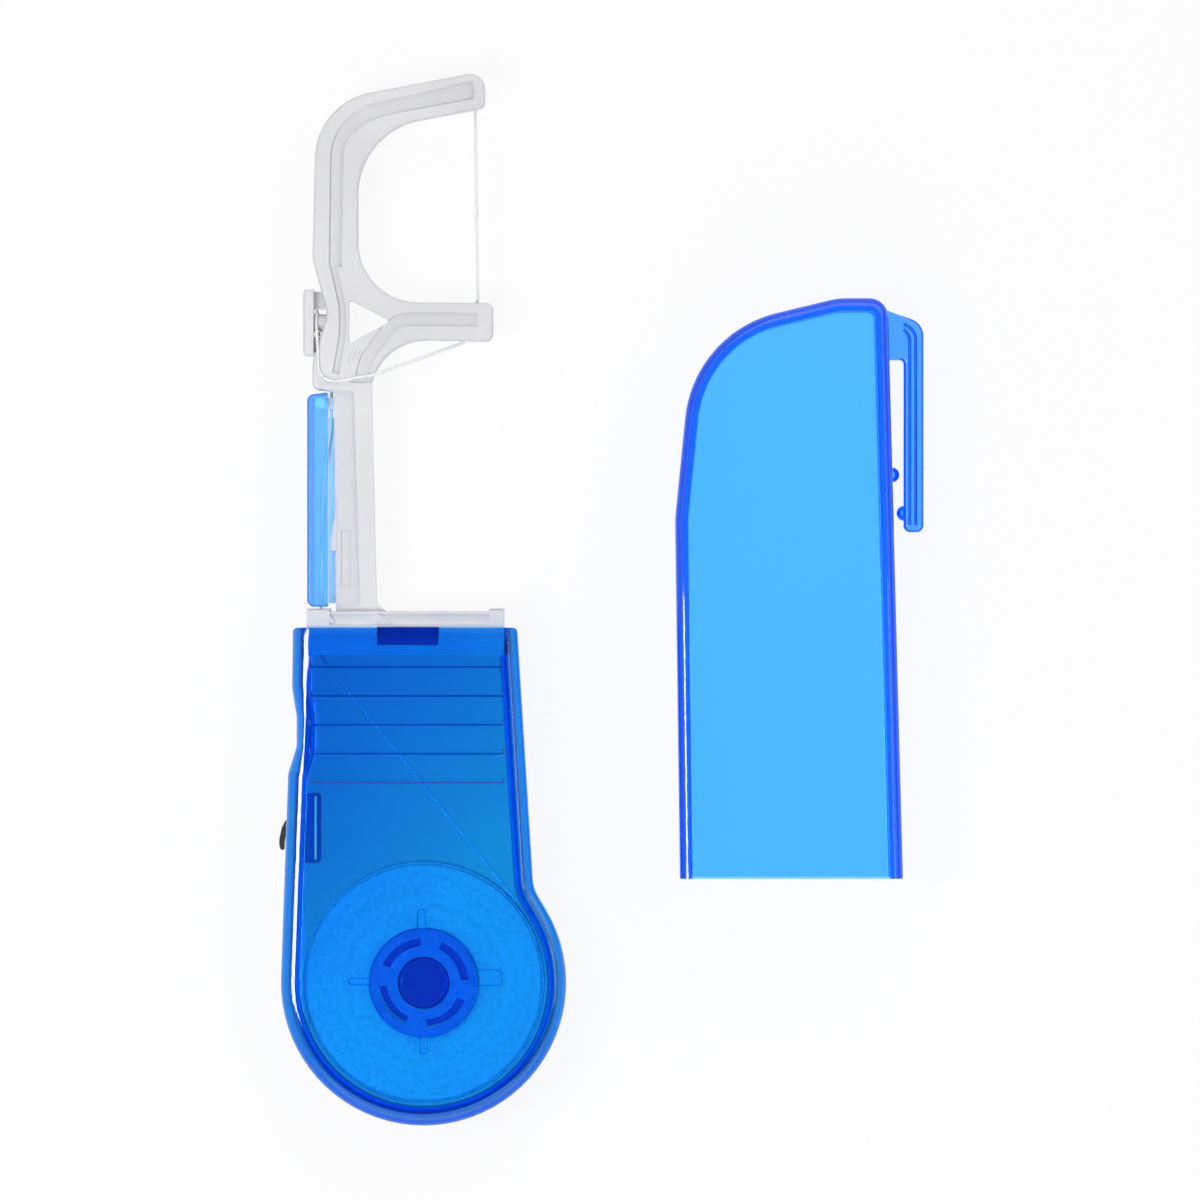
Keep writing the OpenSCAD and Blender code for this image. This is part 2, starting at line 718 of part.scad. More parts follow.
// Outer layer of turns: a helix whose two ends run straight for one floss thickness
function turn_point(i) =
    let (a = leave_angle - 360 * i / ring_count)
    [turn_r * cos(a), turn_r * sin(a), turn_z - i * turn_pitch / ring_count];
function turn_way(i) = unit(turn_point(i - 1) - turn_point(i + 1));
turns = concat([turn_point(0) + turn_way(0) * floss_d], [for (i = [0 : turn_last]) turn_point(i)],
               [turn_point(turn_last) - turn_way(turn_last) * floss_d]);
// Least gap between the tube and itself, measured between points at least half a turn apart
winding_gap = min([for (i = [0 : ring_count])
    for (j = [i + ring_count / 2 : min(i + 2 * ring_count, len(turns) - 1)]) norm(turns[i] - turns[j])]) - floss_d;
echo(winding_gap = winding_gap, loops = loops);

module floss_winding() {
    color("white") {
        translate([0, 0, wind_z]) difference() {
            cylinder(r = drum_r, h = wind_w);
            translate([0, 0, -over]) cylinder(r = core_r + spin_fit, h = wind_w + 2 * over);
        }
        swept(turns, floss_d / 2, 6);
    }
}

// A bend drawn as a curve that starts and ends at the given length from the corner
function bend(p, q, s, d) =
    d == 0 ? [q] : let (a = q + unit(p - q) * d, b = q + unit(s - q) * d)
    [for (i = [0 : bend_steps])
        let (t = i / bend_steps) (1 - t) * (1 - t) * a + 2 * t * (1 - t) * q + t * t * b];
// Most of one turn round the cleat's neck
wrap = [for (i = [0 : wrap_rings - 1])
    let (a = 90 - 360 * i / wrap_rings)
    [wrap_start + wrap_pitch * i / wrap_rings, cleat_y + wrap_r * cos(a), mid_z + wrap_r * sin(a)]];
// The whole strand
strand_n = len(route);
strand = concat([route[0][0]],
    [for (i = [1 : strand_n - 1])
        each bend(route[i - 1][0], route[i][0], i < strand_n - 1 ? route[i + 1][0] : wrap[0], route[i][1])],
    wrap);

module floss_strand() {
    color("white") swept(strand, floss_d / 2, 8);
}

// Steel strip in its pocket, with one barb bent out along the wall
module cutter_blade() {
    bend_x = barb_x - barb_out;
    bend_y = window_y - barb_drop * barb_bend_share;
    tip_x = barb_x - barb_out * barb_tip_share;
    tip_y = window_y - barb_drop;
    half = steel_t / 2;
    color([0.12, 0.12, 0.13]) {
        block([cutter_x, cutter_bottom, cutter_z], [cutter_x + steel_t, cutter_y, cutter_z + cutter_w]);
        prism([[cutter_x + sink, window_y + half], [barb_x, window_y + half],
               [bend_x, bend_y], [tip_x, tip_y],
               [tip_x + steel_t, tip_y], [bend_x + steel_t, bend_y], [barb_x + half, window_y - half],
               [cutter_x + sink, window_y - half]],
              cutter_z, cutter_z + cutter_w);
    }
}

// Outline of the cap where it sits on the head, carried on past its open end
cap_outline = rounded([
    [-cap_left, mouth_y - over - cap_wall, 0],
    [cap_right, mouth_y - over - cap_wall, 0],
    [cap_right, mouth_y, 0],
    [cap_right - cap_narrow, cap_top, cap_edge_r * 2],
    [crown_w / 2, cap_top, shoulder_r / 2],
    [-cap_left + shoulder_in, cap_top - shoulder_drop, shoulder_r],
    [-cap_left - cap_bulge, mouth_y + cap_len * bulge_share, shoulder_r],
    [-cap_left, mouth_y, 0]
]);

// Cap with its pocket clip, one moulding
module cap_shell() {
    color([0.28, 0.69, 1.0, 0.6]) translate(cap_move) difference() {
        union() {
            stacked(cap_outline,
                    concat(edge_levels(0, cap_edge_r, -1), edge_levels(housing_t, cap_edge_r, 1)));
            pocket_clip();
        }
        prism(inset(cap_outline, cap_wall), cap_face, housing_t - cap_face);
        block([-2 * grip_r, mouth_y - over - 2 * cap_wall, -over], [2 * grip_r, mouth_y, housing_t + over]);
    }
}

// Place of the cap's right face at height y
function cap_side(y) = cap_right - cap_narrow * (y - mouth_y) / cap_len;

// Hooked bar, the dome on the cap and the lug on the bar
module pocket_clip() {
    bridge_y = cap_top - clip_drop;
    end_y = bridge_y - clip_len;
    root_x = cap_side(bridge_y) - cap_wall / 2;
    in_x = cap_side(dome_y) + clip_gap;
    out_x = in_x + clip_t;
    prism(rounded([[root_x, bridge_y - bridge_h - clip_drop / 2, 0],
                   [in_x, bridge_y - bridge_h - clip_drop / 2, clip_end_round / 2],
                   [in_x, end_y, clip_end_round], [out_x, end_y, clip_end_round],
                   [out_x, bridge_y - clip_end_round, clip_round], [root_x, bridge_y + clip_end_round, 0]]),
          mid_z - clip_w / 2, mid_z + clip_w / 2);
    translate([cap_side(dome_y), dome_y, mid_z]) sphere(r = dome_r);
    translate([in_x + lug_r / 8, lug_y, mid_z]) sphere(r = lug_r);
}

rear_shell();
front_cover();
floss_head();
lock_lever();
roll_core();
floss_winding();
floss_strand();
cutter_blade();
cap_shell();
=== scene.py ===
"""Looks of a refillable floss holder: a blue housing with its roll, a white fork head and its cap."""

import math

import bmesh
import bpy
from mathutils import Matrix, Vector


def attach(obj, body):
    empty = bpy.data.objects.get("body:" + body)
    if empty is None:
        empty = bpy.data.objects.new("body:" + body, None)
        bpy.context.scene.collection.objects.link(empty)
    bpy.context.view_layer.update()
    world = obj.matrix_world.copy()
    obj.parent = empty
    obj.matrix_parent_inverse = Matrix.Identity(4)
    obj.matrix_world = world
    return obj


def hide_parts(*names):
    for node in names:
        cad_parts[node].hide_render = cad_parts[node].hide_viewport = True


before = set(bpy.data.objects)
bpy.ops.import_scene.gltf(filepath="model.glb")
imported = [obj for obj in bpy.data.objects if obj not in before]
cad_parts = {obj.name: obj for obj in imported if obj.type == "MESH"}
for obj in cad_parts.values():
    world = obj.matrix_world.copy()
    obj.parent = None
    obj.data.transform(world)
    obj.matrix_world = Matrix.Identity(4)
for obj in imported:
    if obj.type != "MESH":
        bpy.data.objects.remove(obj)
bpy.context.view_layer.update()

# The set: the holder lies on its back on a white table and is photographed from straight above.
# A long lens keeps the edges upright; a narrow strip lamp on the left draws the thin white
# highlight along the housing, and large soft lamps do the rest. Sizes are in mm, times MM in metres.
MM = 0.001
view_middle = (22.0, 47.75)
lens_height = 1508.0
lens_mm = 360.0
eye = bpy.data.cameras.new("overhead_camera")
eye.lens = lens_mm
eye.sensor_width = 36.0
eye.clip_start = 0.01
eye.clip_end = 20.0
eye_object = bpy.data.objects.new("overhead_camera", eye)
eye_object.location = (view_middle[0] * MM, view_middle[1] * MM, lens_height * MM)
bpy.context.scene.collection.objects.link(eye_object)
bpy.context.scene.camera = eye_object
bpy.context.scene.view_settings.view_transform = "Standard"


def shade(code):
    """The linear colour of an sRGB hex value."""
    parts = [int(code[i:i + 2], 16) / 255 for i in (1, 3, 5)]
    return tuple(c / 12.92 if c <= 0.04045 else ((c + 0.055) / 1.055) ** 2.4 for c in parts) + (1.0,)


def add(tree, kind, sockets=(), **looks):
    """One node with its settings; a socket's value is a number, a colour or another node's output."""
    node = tree.nodes.new(kind)
    for name, value in looks.items():
        setattr(node, name, value)
    for name, value in dict(sockets).items():
        if isinstance(value, bpy.types.NodeSocket):
            tree.links.new(value, node.inputs[name])
        else:
            node.inputs[name].default_value = value
    return node


def ramp(tree, source, stops):
    """A colour ramp over source with stops (place, hex colour)."""
    node = add(tree, "ShaderNodeValToRGB", {"Fac": source})
    bar = node.color_ramp
    while len(bar.elements) < len(stops):
        bar.elements.new(0.5)
    for stop, (place, code) in zip(bar.elements, stops):
        stop.position = place
        stop.color = shade(code)
    return node.outputs["Color"]


def fresh_material(name):
    """A new material and its empty node tree."""
    material = bpy.data.materials.new(name)
    material.use_nodes = True
    material.node_tree.nodes.clear()
    return material, material.node_tree


# Matt white table: for the lens, and for what is seen through or mirrored in the plastic, it is
# nearly pure white, with some room left for the object's own shadow.
table_z = -0.4
bpy.ops.object.select_all(action="DESELECT")
bpy.ops.mesh.primitive_plane_add(size=3.0, location=(0.0, 0.05, table_z * MM))
table = bpy.context.object
table.name = "white_table"
table_paint, tree = fresh_material("white table, matt paint")
seen = add(tree, "ShaderNodeLightPath")
lens_or_glass = add(tree, "ShaderNodeMath", {0: seen.outputs["Is Camera Ray"],
                                             1: seen.outputs["Is Transmission Ray"]}, operation="MAXIMUM")
any_sight = add(tree, "ShaderNodeMath", {0: lens_or_glass.outputs[0], 1: seen.outputs["Is Glossy Ray"]},
                operation="MAXIMUM")
share = add(tree, "ShaderNodeMath", {0: any_sight.outputs[0], 1: 0.9}, operation="MULTIPLY")
matt = add(tree, "ShaderNodeBsdfDiffuse", {"Color": shade("#F2F2F2")})
glow = add(tree, "ShaderNodeEmission", {"Color": shade("#FFFFFF"), "Strength": 1.0})
table_mix = add(tree, "ShaderNodeMixShader", {0: share.outputs[0], 1: matt.outputs[0], 2: glow.outputs[0]})
add(tree, "ShaderNodeOutputMaterial", {"Surface": table_mix.outputs[0]})
table.data.materials.append(table_paint)

# A white tent around the table: even light from the sides, and darker overhead where the lens looks in.
tent = bpy.data.worlds.new("white tent")
bpy.context.scene.world = tent
tent.use_nodes = True
tree = tent.node_tree
tree.nodes.clear()
way = add(tree, "ShaderNodeSeparateXYZ", {0: add(tree, "ShaderNodeTexCoord").outputs["Generated"]})
tent_shade = ramp(tree, way.outputs["Z"],
                  [(0.0, "#C0C0C0"), (0.5, "#A2A2A4"), (0.84, "#3A3A3C"), (1.0, "#1C1C1E")])
seen = add(tree, "ShaderNodeLightPath")
lens_or_glass = add(tree, "ShaderNodeMath", {0: seen.outputs["Is Camera Ray"],
                                             1: seen.outputs["Is Transmission Ray"]}, operation="MAXIMUM")
backdrop = add(tree, "ShaderNodeMix",
               {"Factor": lens_or_glass.outputs[0], 6: tent_shade, 7: shade("#FFFFFF")}, data_type="RGBA")
tent_glow = add(tree, "ShaderNodeBackground", {"Color": backdrop.outputs[2], "Strength": 1.0})
add(tree, "ShaderNodeOutputWorld", {"Surface": tent_glow.outputs[0]})


def lamp(name, place, aim, size, watts):
    """A soft rectangular lamp at place, turned towards aim, in metres."""
    light = bpy.data.lights.new(name, "AREA")
    light.shape = "RECTANGLE"
    light.size, light.size_y = size
    light.energy = watts
    holder = bpy.data.objects.new(name, light)
    way = Vector(aim) - Vector(place)
    holder.rotation_euler = way.to_track_quat("-Z", "Y").to_euler()
    holder.location = place
    bpy.context.scene.collection.objects.link(holder)


lamp("left_strip", (-0.125, 0.006, 0.36), (0.0, 0.006, 0.0), (0.08, 0.12), 0.65)
lamp("right_strip", (0.2, 0.004, 0.36), (0.0, 0.004, 0.0), (0.1, 0.06), 0.06)
lamp("upper_softbox", (0.35, 0.75, 0.75), (0.02, 0.05, 0.0), (1.6, 1.1), 5.9)
lamp("lower_softbox", (0.1, -0.75, 0.7), (0.02, 0.05, 0.0), (1.6, 1.0), 3.4)

# Housing, back half: a tray moulded in clear blue polystyrene, 1.5 mm thick at the back and 1.6 mm
# at the sides, with rounded outer edges. It is pushed up from the outline and hollowed from above.
grip_r = 17.8
mouth_y = 44.3
mouth_left = -16.3
mouth_right = 11.7
housing_t = 13.0
split_z = 8.4
side_wall = 1.6
face_t = 1.5
edge_r = 1.4
right_lean = math.radians(30.7)
blank_end = 48.7  # both halves are made long, and cut off at the mouth
below, above = -5.0, 20.0  # heights well clear of the part, for cuts that go right through
hair = 0.02  # a gap that keeps two pieces from sharing a face
waist = [(-16.41, 36.77, 3.9), (-15.84, 33.225, 3.5), (-15.84, 29.46, 3.5), (-16.9, 26.137, 3.9)]
left_lean = math.pi - math.atan2(26.137, -16.9) - math.acos(grip_r / math.hypot(16.9, 26.137))


def rounded(corners, step=5.0):
    """The points of a closed outline whose corners (x, y, radius) are rounded, in mm."""
    points = []
    for i, (x, y, r) in enumerate(corners):
        here = Vector((x, y))
        way_in = (here - Vector(corners[i - 1][:2])).normalized()
        way_out = (Vector(corners[(i + 1) % len(corners)][:2]) - here).normalized()
        turn = math.atan2(way_in.x * way_out.y - way_in.y * way_out.x, way_in.dot(way_out))
        if r == 0 or abs(turn) < 1e-4:
            points.append(here)
            continue
        start = here - way_in * r * math.tan(abs(turn) / 2)
        centre = start + Vector((-way_in.y, way_in.x)) * math.copysign(r, turn)
        count = max(1, math.ceil(math.degrees(abs(turn)) / step))
        for k in range(count + 1):
            points.append(centre + Matrix.Rotation(turn * k / count, 2) @ (start - centre))
    return [p for i, p in enumerate(points) if (p - points[i - 1]).length > 0.01]


def inset(points, d):
    """A counter-clockwise outline drawn in by d."""
    drawn = []
    for i, here in enumerate(points):
        a = (here - points[i - 1]).normalized()
        b = (points[(i + 1) % len(points)] - here).normalized()
        na, nb = Vector((-a.y, a.x)), Vector((-b.y, b.x))
        middle = (na + nb).normalized()
        drawn.append(here + middle * d / middle.dot(na))
    return drawn


def push_up(name, points, low, high):
    """A solid block on an outline: a disc whose rim is moved to the points, extruded from low to high."""
    bpy.ops.object.select_all(action="DESELECT")
    bpy.ops.mesh.primitive_circle_add(vertices=len(points), radius=0.01, fill_type="NGON", location=(0, 0, 0))
    piece = bpy.context.object
    piece.name = piece.data.name = name
    for corner, (x, y) in zip(piece.data.vertices, points):
        corner.co = (x * MM, y * MM, low * MM)
    bpy.ops.object.mode_set(mode="EDIT")
    bpy.ops.mesh.select_all(action="SELECT")
    bpy.ops.mesh.extrude_region_move(TRANSFORM_OT_translate={"value": (0.0, 0.0, (high - low) * MM)})
    bpy.ops.mesh.select_all(action="SELECT")
    bpy.ops.mesh.normals_make_consistent(inside=False)
    bpy.ops.object.mode_set(mode="OBJECT")
    return piece


def round_over(piece, chosen, width, steps=5):
    """Rounds the edges for which chosen(middle, way) is true; middle is in mm."""
    bpy.ops.object.select_all(action="DESELECT")
    bpy.context.view_layer.objects.active = piece
    piece.select_set(True)
    bpy.ops.object.mode_set(mode="EDIT")
    bpy.ops.mesh.select_mode(type="EDGE")
    bpy.ops.mesh.select_all(action="DESELECT")
    mesh = bmesh.from_edit_mesh(piece.data)
    for edge in mesh.edges:
        a, b = (v.co / MM for v in edge.verts)
        edge.select_set(bool(chosen((a + b) / 2, (b - a).normalized())))
    bmesh.update_edit_mesh(piece.data)
    bpy.ops.mesh.bevel(offset=width * MM, offset_type="OFFSET", segments=steps, affect="EDGES",
                       clamp_overlap=False, profile=0.5)
    bpy.ops.object.mode_set(mode="OBJECT")


def at_height(z):
    return lambda middle, way: abs(middle.z - z) < 0.002 and abs(way.z) < 0.01


def fit(piece, other, how):
    """Welds other to the piece (UNION) or cuts it away (DIFFERENCE)."""
    step = piece.modifiers.new("fit", "BOOLEAN")
    step.operation = how
    step.solver = "EXACT"
    step.object = other
    bpy.ops.object.select_all(action="DESELECT")
    bpy.context.view_layer.objects.active = piece
    piece.select_set(True)
    bpy.ops.object.modifier_apply(modifier="fit")
    bpy.data.objects.remove(other, do_unlink=True)


def polish(piece, material, angle=32.0):
    """Smooth normals that leave the flat faces flat, and the piece's finish."""
    bpy.ops.object.select_all(action="DESELECT")
    bpy.context.view_layer.objects.active = piece
    piece.select_set(True)
    bpy.ops.object.shade_smooth_by_angle(angle=math.radians(angle))
    even = piece.modifiers.new("even", "WEIGHTED_NORMAL")
    even.keep_sharp = True
    bpy.ops.object.modifier_apply(modifier="even")
    piece.data.materials.clear()
    piece.data.materials.append(material)


def block(name, low, high):
    """A plain box between two corners, as a cutter or a rib."""
    (x0, y0, z0), (x1, y1, z1) = low, high
    return push_up(name, [(x0, y0), (x1, y0), (x1, y1), (x0, y1)], z0, z1)


def lumps(count, span):
    """The scale of a noise with count lumps in span mm."""
    return count / (span * MM)


def clear_plastic(name, tints, spread, depth, density, edge, glow_share, haze=0.04,
                  low_edge="", shadow="", side="", ridge=""):
    """Clear moulded plastic that takes on depth's colour with its thickness. tints are its two surface
    tints and spread the line in mm, (from, to), along which they change. Walls and rounded edges get a
    painted glow that stands in for the light they gather: by the share glow_share they take edge's
    colour, or low_edge's at the bulb's foot. Lamp light passes through in shadow's colour. With side,
    upright walls are clearer, with less painted glow, and take side's colour. With ridge, the flanks of
    what stands above the housing's face take that colour, as painted shade."""
    material, tree = fresh_material(name)
    place = add(tree, "ShaderNodeTexCoord").outputs["Object"]
    (x0, y0), (x1, y1) = spread
    line = Vector((x1 - x0, y1 - y0, 0.0)) * MM
    along = add(tree, "ShaderNodeVectorMath", {0: place, 1: line / line.length_squared},
                operation="DOT_PRODUCT")
    start = (x0 * MM * line.x + y0 * MM * line.y) / line.length_squared
    # Clouds 17 mm across make the tint uneven, as flow in a mould does, and ripples 4.5 mm across
    # vary the gloss.
    sway = 0.3
    cloud = add(tree, "ShaderNodeTexNoise",
                {"Vector": place, "Scale": lumps(6, 100), "Detail": 2.0, "Roughness": 0.5})
    wander = add(tree, "ShaderNodeMath", {0: cloud.outputs["Fac"], 1: sway, 2: -sway / 2 - start},
                 operation="MULTIPLY_ADD")
    shift = add(tree, "ShaderNodeMath", {0: along.outputs["Value"], 1: wander.outputs[0]}, operation="ADD")
    tint = ramp(tree, shift.outputs[0], [(0.0, tints[0]), (1.0, tints[1])])
    ripple = add(tree, "ShaderNodeTexNoise", {"Vector": place, "Scale": lumps(22, 100), "Detail": 2.0})
    gloss = add(tree, "ShaderNodeMapRange",
                {"Value": ripple.outputs["Fac"], "To Min": haze * 0.6, "To Max": haze * 1.4})
    waves = add(tree, "ShaderNodeBump", {"Height": cloud.outputs["Fac"], "Strength": 0.05, "Distance": MM})
    # The painted glow starts where a face leans a little, and is full on a wall.
    glow_from, glow_full = 0.995, 0.85
    facing = add(tree, "ShaderNodeSeparateXYZ", {0: add(tree, "ShaderNodeTexCoord").outputs["Normal"]})
    upright = add(tree, "ShaderNodeMath", {0: facing.outputs["Z"]}, operation="ABSOLUTE")
    wall = add(tree, "ShaderNodeMapRange",
               {"Value": upright.outputs[0], "From Min": glow_from, "From Max": glow_full},
               interpolation_type="SMOOTHSTEP")
    painted_glow = shade(edge)
    if low_edge:
        north = add(tree, "ShaderNodeSeparateXYZ", {0: place}).outputs["Y"]
        rise = add(tree, "ShaderNodeMapRange",
                   {"Value": north, "From Min": -14.0 * MM, "From Max": -4.0 * MM})
        painted_glow = ramp(tree, rise.outputs[0], [(0.0, low_edge), (1.0, edge)])
    surface = add(tree, "ShaderNodeMix", {"Factor": wall.outputs[0], 6: tint, 7: painted_glow},
                  data_type="RGBA")
    # Painted shade: the flanks standing above the housing's face take ridge's dark colour.
    if ridge:
        height = add(tree, "ShaderNodeSeparateXYZ", {0: place}).outputs["Z"]
        proud = add(tree, "ShaderNodeMapRange", {"Value": height, "From Min": (housing_t + 0.01) * MM,
                                                 "From Max": (housing_t + 0.04) * MM})
        flank_shade = add(tree, "ShaderNodeMath", {0: proud.outputs[0], 1: wall.outputs[0]}, operation="MULTIPLY")
        surface = add(tree, "ShaderNodeMix",
                      {"Factor": flank_shade.outputs[0], 6: surface.outputs[2], 7: shade(ridge)}, data_type="RGBA")
    glow_mask = wall.outputs[0]
    if side:
        steep_from, steep_full, less_glow = 0.3, 0.05, 0.45
        steep = add(tree, "ShaderNodeMapRange",
                    {"Value": upright.outputs[0], "From Min": steep_from, "From Max": steep_full})
        surface = add(tree, "ShaderNodeMix",
                      {"Factor": steep.outputs[0], 6: surface.outputs[2], 7: shade(side)}, data_type="RGBA")
        glow_mask = add(tree, "ShaderNodeMath", {0: steep.outputs[0], 1: -less_glow, 2: wall.outputs[0]},
                    operation="MULTIPLY_ADD").outputs[0]
    clear = add(tree, "ShaderNodeMath", {0: glow_mask, 1: -glow_share, 2: 1.0}, operation="MULTIPLY_ADD")
    solid = add(tree, "ShaderNodeBsdfPrincipled",
                {"Base Color": surface.outputs[2], "Roughness": gloss.outputs[0], "Normal": waves.outputs[0],
                 "IOR": 1.52, "Transmission Weight": clear.outputs[0]})
    light_way = add(tree, "ShaderNodeLightPath")
    passing = add(tree, "ShaderNodeBsdfTransparent", {"Color": shade(shadow or tints[1])})
    skin = add(tree, "ShaderNodeMixShader", {0: light_way.outputs["Is Shadow Ray"], 1: solid.outputs[0],
                                             2: passing.outputs[0]})
    body = add(tree, "ShaderNodeVolumeAbsorption", {"Color": shade(depth), "Density": density})
    add(tree, "ShaderNodeOutputMaterial", {"Surface": skin.outputs[0], "Volume": body.outputs[0]})
    return material


def housing_outline(end_y):
    """The housing's outline up to end_y, counter-clockwise from the bottom left."""
    shoulder_x = 13.706
    shoulder_y = (grip_r - shoulder_x * math.cos(right_lean)) / math.sin(right_lean)
    end_share = (end_y - mouth_y) / (mouth_y - shoulder_y)
    top_share = (end_y - mouth_y) / (mouth_y - waist[0][1])
    return rounded([
        (-grip_r * (1 + math.sin(left_lean)) / math.cos(left_lean), -grip_r, grip_r),
        (grip_r * (1 + math.sin(right_lean)) / math.cos(right_lean), -grip_r, grip_r),
        (shoulder_x, shoulder_y, 5.0), (mouth_right + (mouth_right - shoulder_x) * end_share, end_y, 0.0),
        (mouth_left + (mouth_left - waist[0][0]) * top_share, end_y, 0.0), *waist])


def trim_mouth(piece):
    """Cuts the long blank off at the mouth and rounds the mouth's two corners."""
    r = 0.6
    quarter = [math.pi / 8 * i for i in range(5)]
    fit(piece, block("past", (-30.0, mouth_y + 0.003, below), (30.0, 60.0, above)), "DIFFERENCE")
    for x, side in ((mouth_left, 1), (mouth_right, -1)):
        arc = [(x + side * r * (1 - math.cos(a)), mouth_y - r * (1 - math.sin(a))) for a in quarter]
        nick = [(x - side * r / 2, mouth_y + r / 2), (x - side * r / 2, mouth_y - r), *arc,
                (x + side * r, mouth_y + r / 2)]
        fit(piece, push_up("nick", nick if side == 1 else nick[::-1], below, above), "DIFFERENCE")


# Clear azure with a painted glow all round, standing in for the light that the upright walls gather,
# and painted darker at the bulb's foot. Its tint is painted shade: deep at the waist, lighter at the bulb.
painted_shade_line = ((-14.0, 38.0), (10.0, 16.0))
clear_blue = clear_plastic("clear blue polystyrene, moulded tray", ("#4EA8E8", "#60CCF0"), painted_shade_line,
                           "#4FD8FF", 260.0, "#0E96FF", 0.75, low_edge="#0E74FF", shadow="#4CA4C6")
slot_low, slot_high = (-13.7, 15.3), (-13.42, 23.2)
long_outline = housing_outline(blank_end)
tray = push_up("rear_tray", long_outline, 0.0, split_z)
round_over(tray, at_height(0.0), edge_r, 6)
hollow = push_up("hollow", inset(long_outline, side_wall), face_t, split_z + 2.0)
round_over(hollow, at_height(face_t), 0.6, 4)
fit(tray, hollow, "DIFFERENCE")
trim_mouth(tray)
fit(tray, block("window", (-20.0, 19.3, 3.3), (-15.2, 20.3, 7.4)), "DIFFERENCE")
fit(tray, block("core_slot", (*slot_low, -1.0), (*slot_high, 3.0)), "DIFFERENCE")
polish(tray, clear_blue)
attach(tray, "body")
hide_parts("rear_shell")

# Cutter pocket: a ribbed seat of the same moulding on the left wall, with a pad that the strip stands
# on and a narrow slot right through. Its thick ribs look a deeper blue, and the slot a bright line.
deep_blue = clear_plastic("clear blue polystyrene, thick rib", ("#2AA6E8", "#2FAAEA"),
                          ((-16.0, 20.0), (12.0, 20.0)), "#1E6CF0", 150.0, "#0A56E0", 0.25)
pocket_left, pocket_right = -15.1, -12.9
pocket_low, pocket_top = 14.9, 23.6
pocket_end, pocket_r = 0.7, 0.5
rib_top = 7.2
pocket_corners = [(pocket_left, pocket_low, 0.0), (pocket_right, pocket_low, pocket_r),
                  (pocket_right, pocket_top, pocket_r), (pocket_left, pocket_top, 0.0)]
pocket = push_up("cutter_pocket", rounded(pocket_corners), face_t + hair, rib_top)
round_over(pocket, at_height(rib_top), 0.25, 3)
room_low, room_top = pocket_low + pocket_end, pocket_top - pocket_end
fit(pocket, block("strip_room", (-15.6, room_low, 3.25), (-14.8, room_top, above)), "DIFFERENCE")
fit(pocket, block("seat", (-14.9, room_low, 5.2), (-13.9, room_top, above)), "DIFFERENCE")
fit(pocket, block("core_slot", (*slot_low, -1.0), (*slot_high, above)), "DIFFERENCE")
polish(pocket, deep_blue)
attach(pocket, "body")
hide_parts("rear_shell")

# Spindle post: a solid pin of the tray's plastic that the roll turns on, with a thin round foot. It
# is 9 mm deep, so it looks dark blue from above. Its end stays bare.
post_r, post_top = 3.2, 10.6
foot_r, foot_t = 5.7, 0.2


def disc(name, r, low, high, x=0.0, y=0.0, count=96):
    """A round block of radius r."""
    turns = [math.tau * i / count for i in range(count)]
    return push_up(name, [(x + r * math.cos(a), y + r * math.sin(a)) for a in turns], low, high)


post_blue = clear_plastic("clear blue polystyrene, solid pin", ("#3A46E8", "#4450F0"),
                          ((-3.0, 0.0), (3.0, 0.0)), "#1808F0", 160.0, "#1420C8", 0.3)
post = disc("spindle_post", post_r, face_t + hair, post_top)
round_over(post, at_height(post_top), 0.5, 4)
fit(post, disc("post_foot", foot_r, face_t + hair, face_t + hair + foot_t), "UNION")
polish(post, post_blue)
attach(post, "body")
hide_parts("rear_shell")

# Housing, front half: a clear blue cover with a thick rounded rim whose lip drops into the tray.
# Five low grip bars lie across it, and a ring and a cross of ribs inside keep the roll in place.
rim_t = 1.75
lip_t, lip_gap = 0.65, 0.12
face_in = 1.9
face_left, face_lean = (-14.15, 43.0), 0.045
arc_steps = 7
bar_first, bar_pitch, bar_count = 4.6, 3.6, 5
bar_left, bar_right, bar_w, bar_rise = -14.34, 10.11, 0.8, 0.3
ring_r, ring_wall, ring_depth = 6.8, 0.5, 0.6
room_left, room_right = -14.7, 10.1


def loft(name, rings):
    """A solid pushed up through rings (points, z) that have as many points each."""
    first, low = rings[0]
    piece = push_up(name, first, low, rings[1][1])
    bpy.ops.object.mode_set(mode="EDIT")
    bpy.ops.mesh.select_mode(type="FACE")
    for (before, z_before), (points, z) in zip(rings[1:], rings[2:]):
        bpy.ops.mesh.select_all(action="DESELECT")
        mesh = bmesh.from_edit_mesh(piece.data)
        for face in mesh.faces:
            face.select_set(all(abs(v.co.z / MM - z_before) < 0.002 for v in face.verts))
        bmesh.update_edit_mesh(piece.data)
        bpy.ops.mesh.extrude_region_move()
        mesh = bmesh.from_edit_mesh(piece.data)
        for corner in (v for v in mesh.verts if v.select):
            here = corner.co.xy / MM
            x, y = points[min(range(len(before)), key=lambda k: (before[k] - here).length_squared)]
            corner.co = (x * MM, y * MM, z * MM)
        bmesh.update_edit_mesh(piece.data)
    bpy.ops.mesh.select_all(action="SELECT")
    bpy.ops.mesh.normals_make_consistent(inside=False)
    bpy.ops.object.mode_set(mode="OBJECT")
    return piece


def join_up(pieces):
    """Several blocks made one object."""
    bpy.ops.object.select_all(action="DESELECT")
    for piece in pieces:
        piece.select_set(True)
    bpy.context.view_layer.objects.active = pieces[0]
    bpy.ops.object.join()
    return pieces[0]
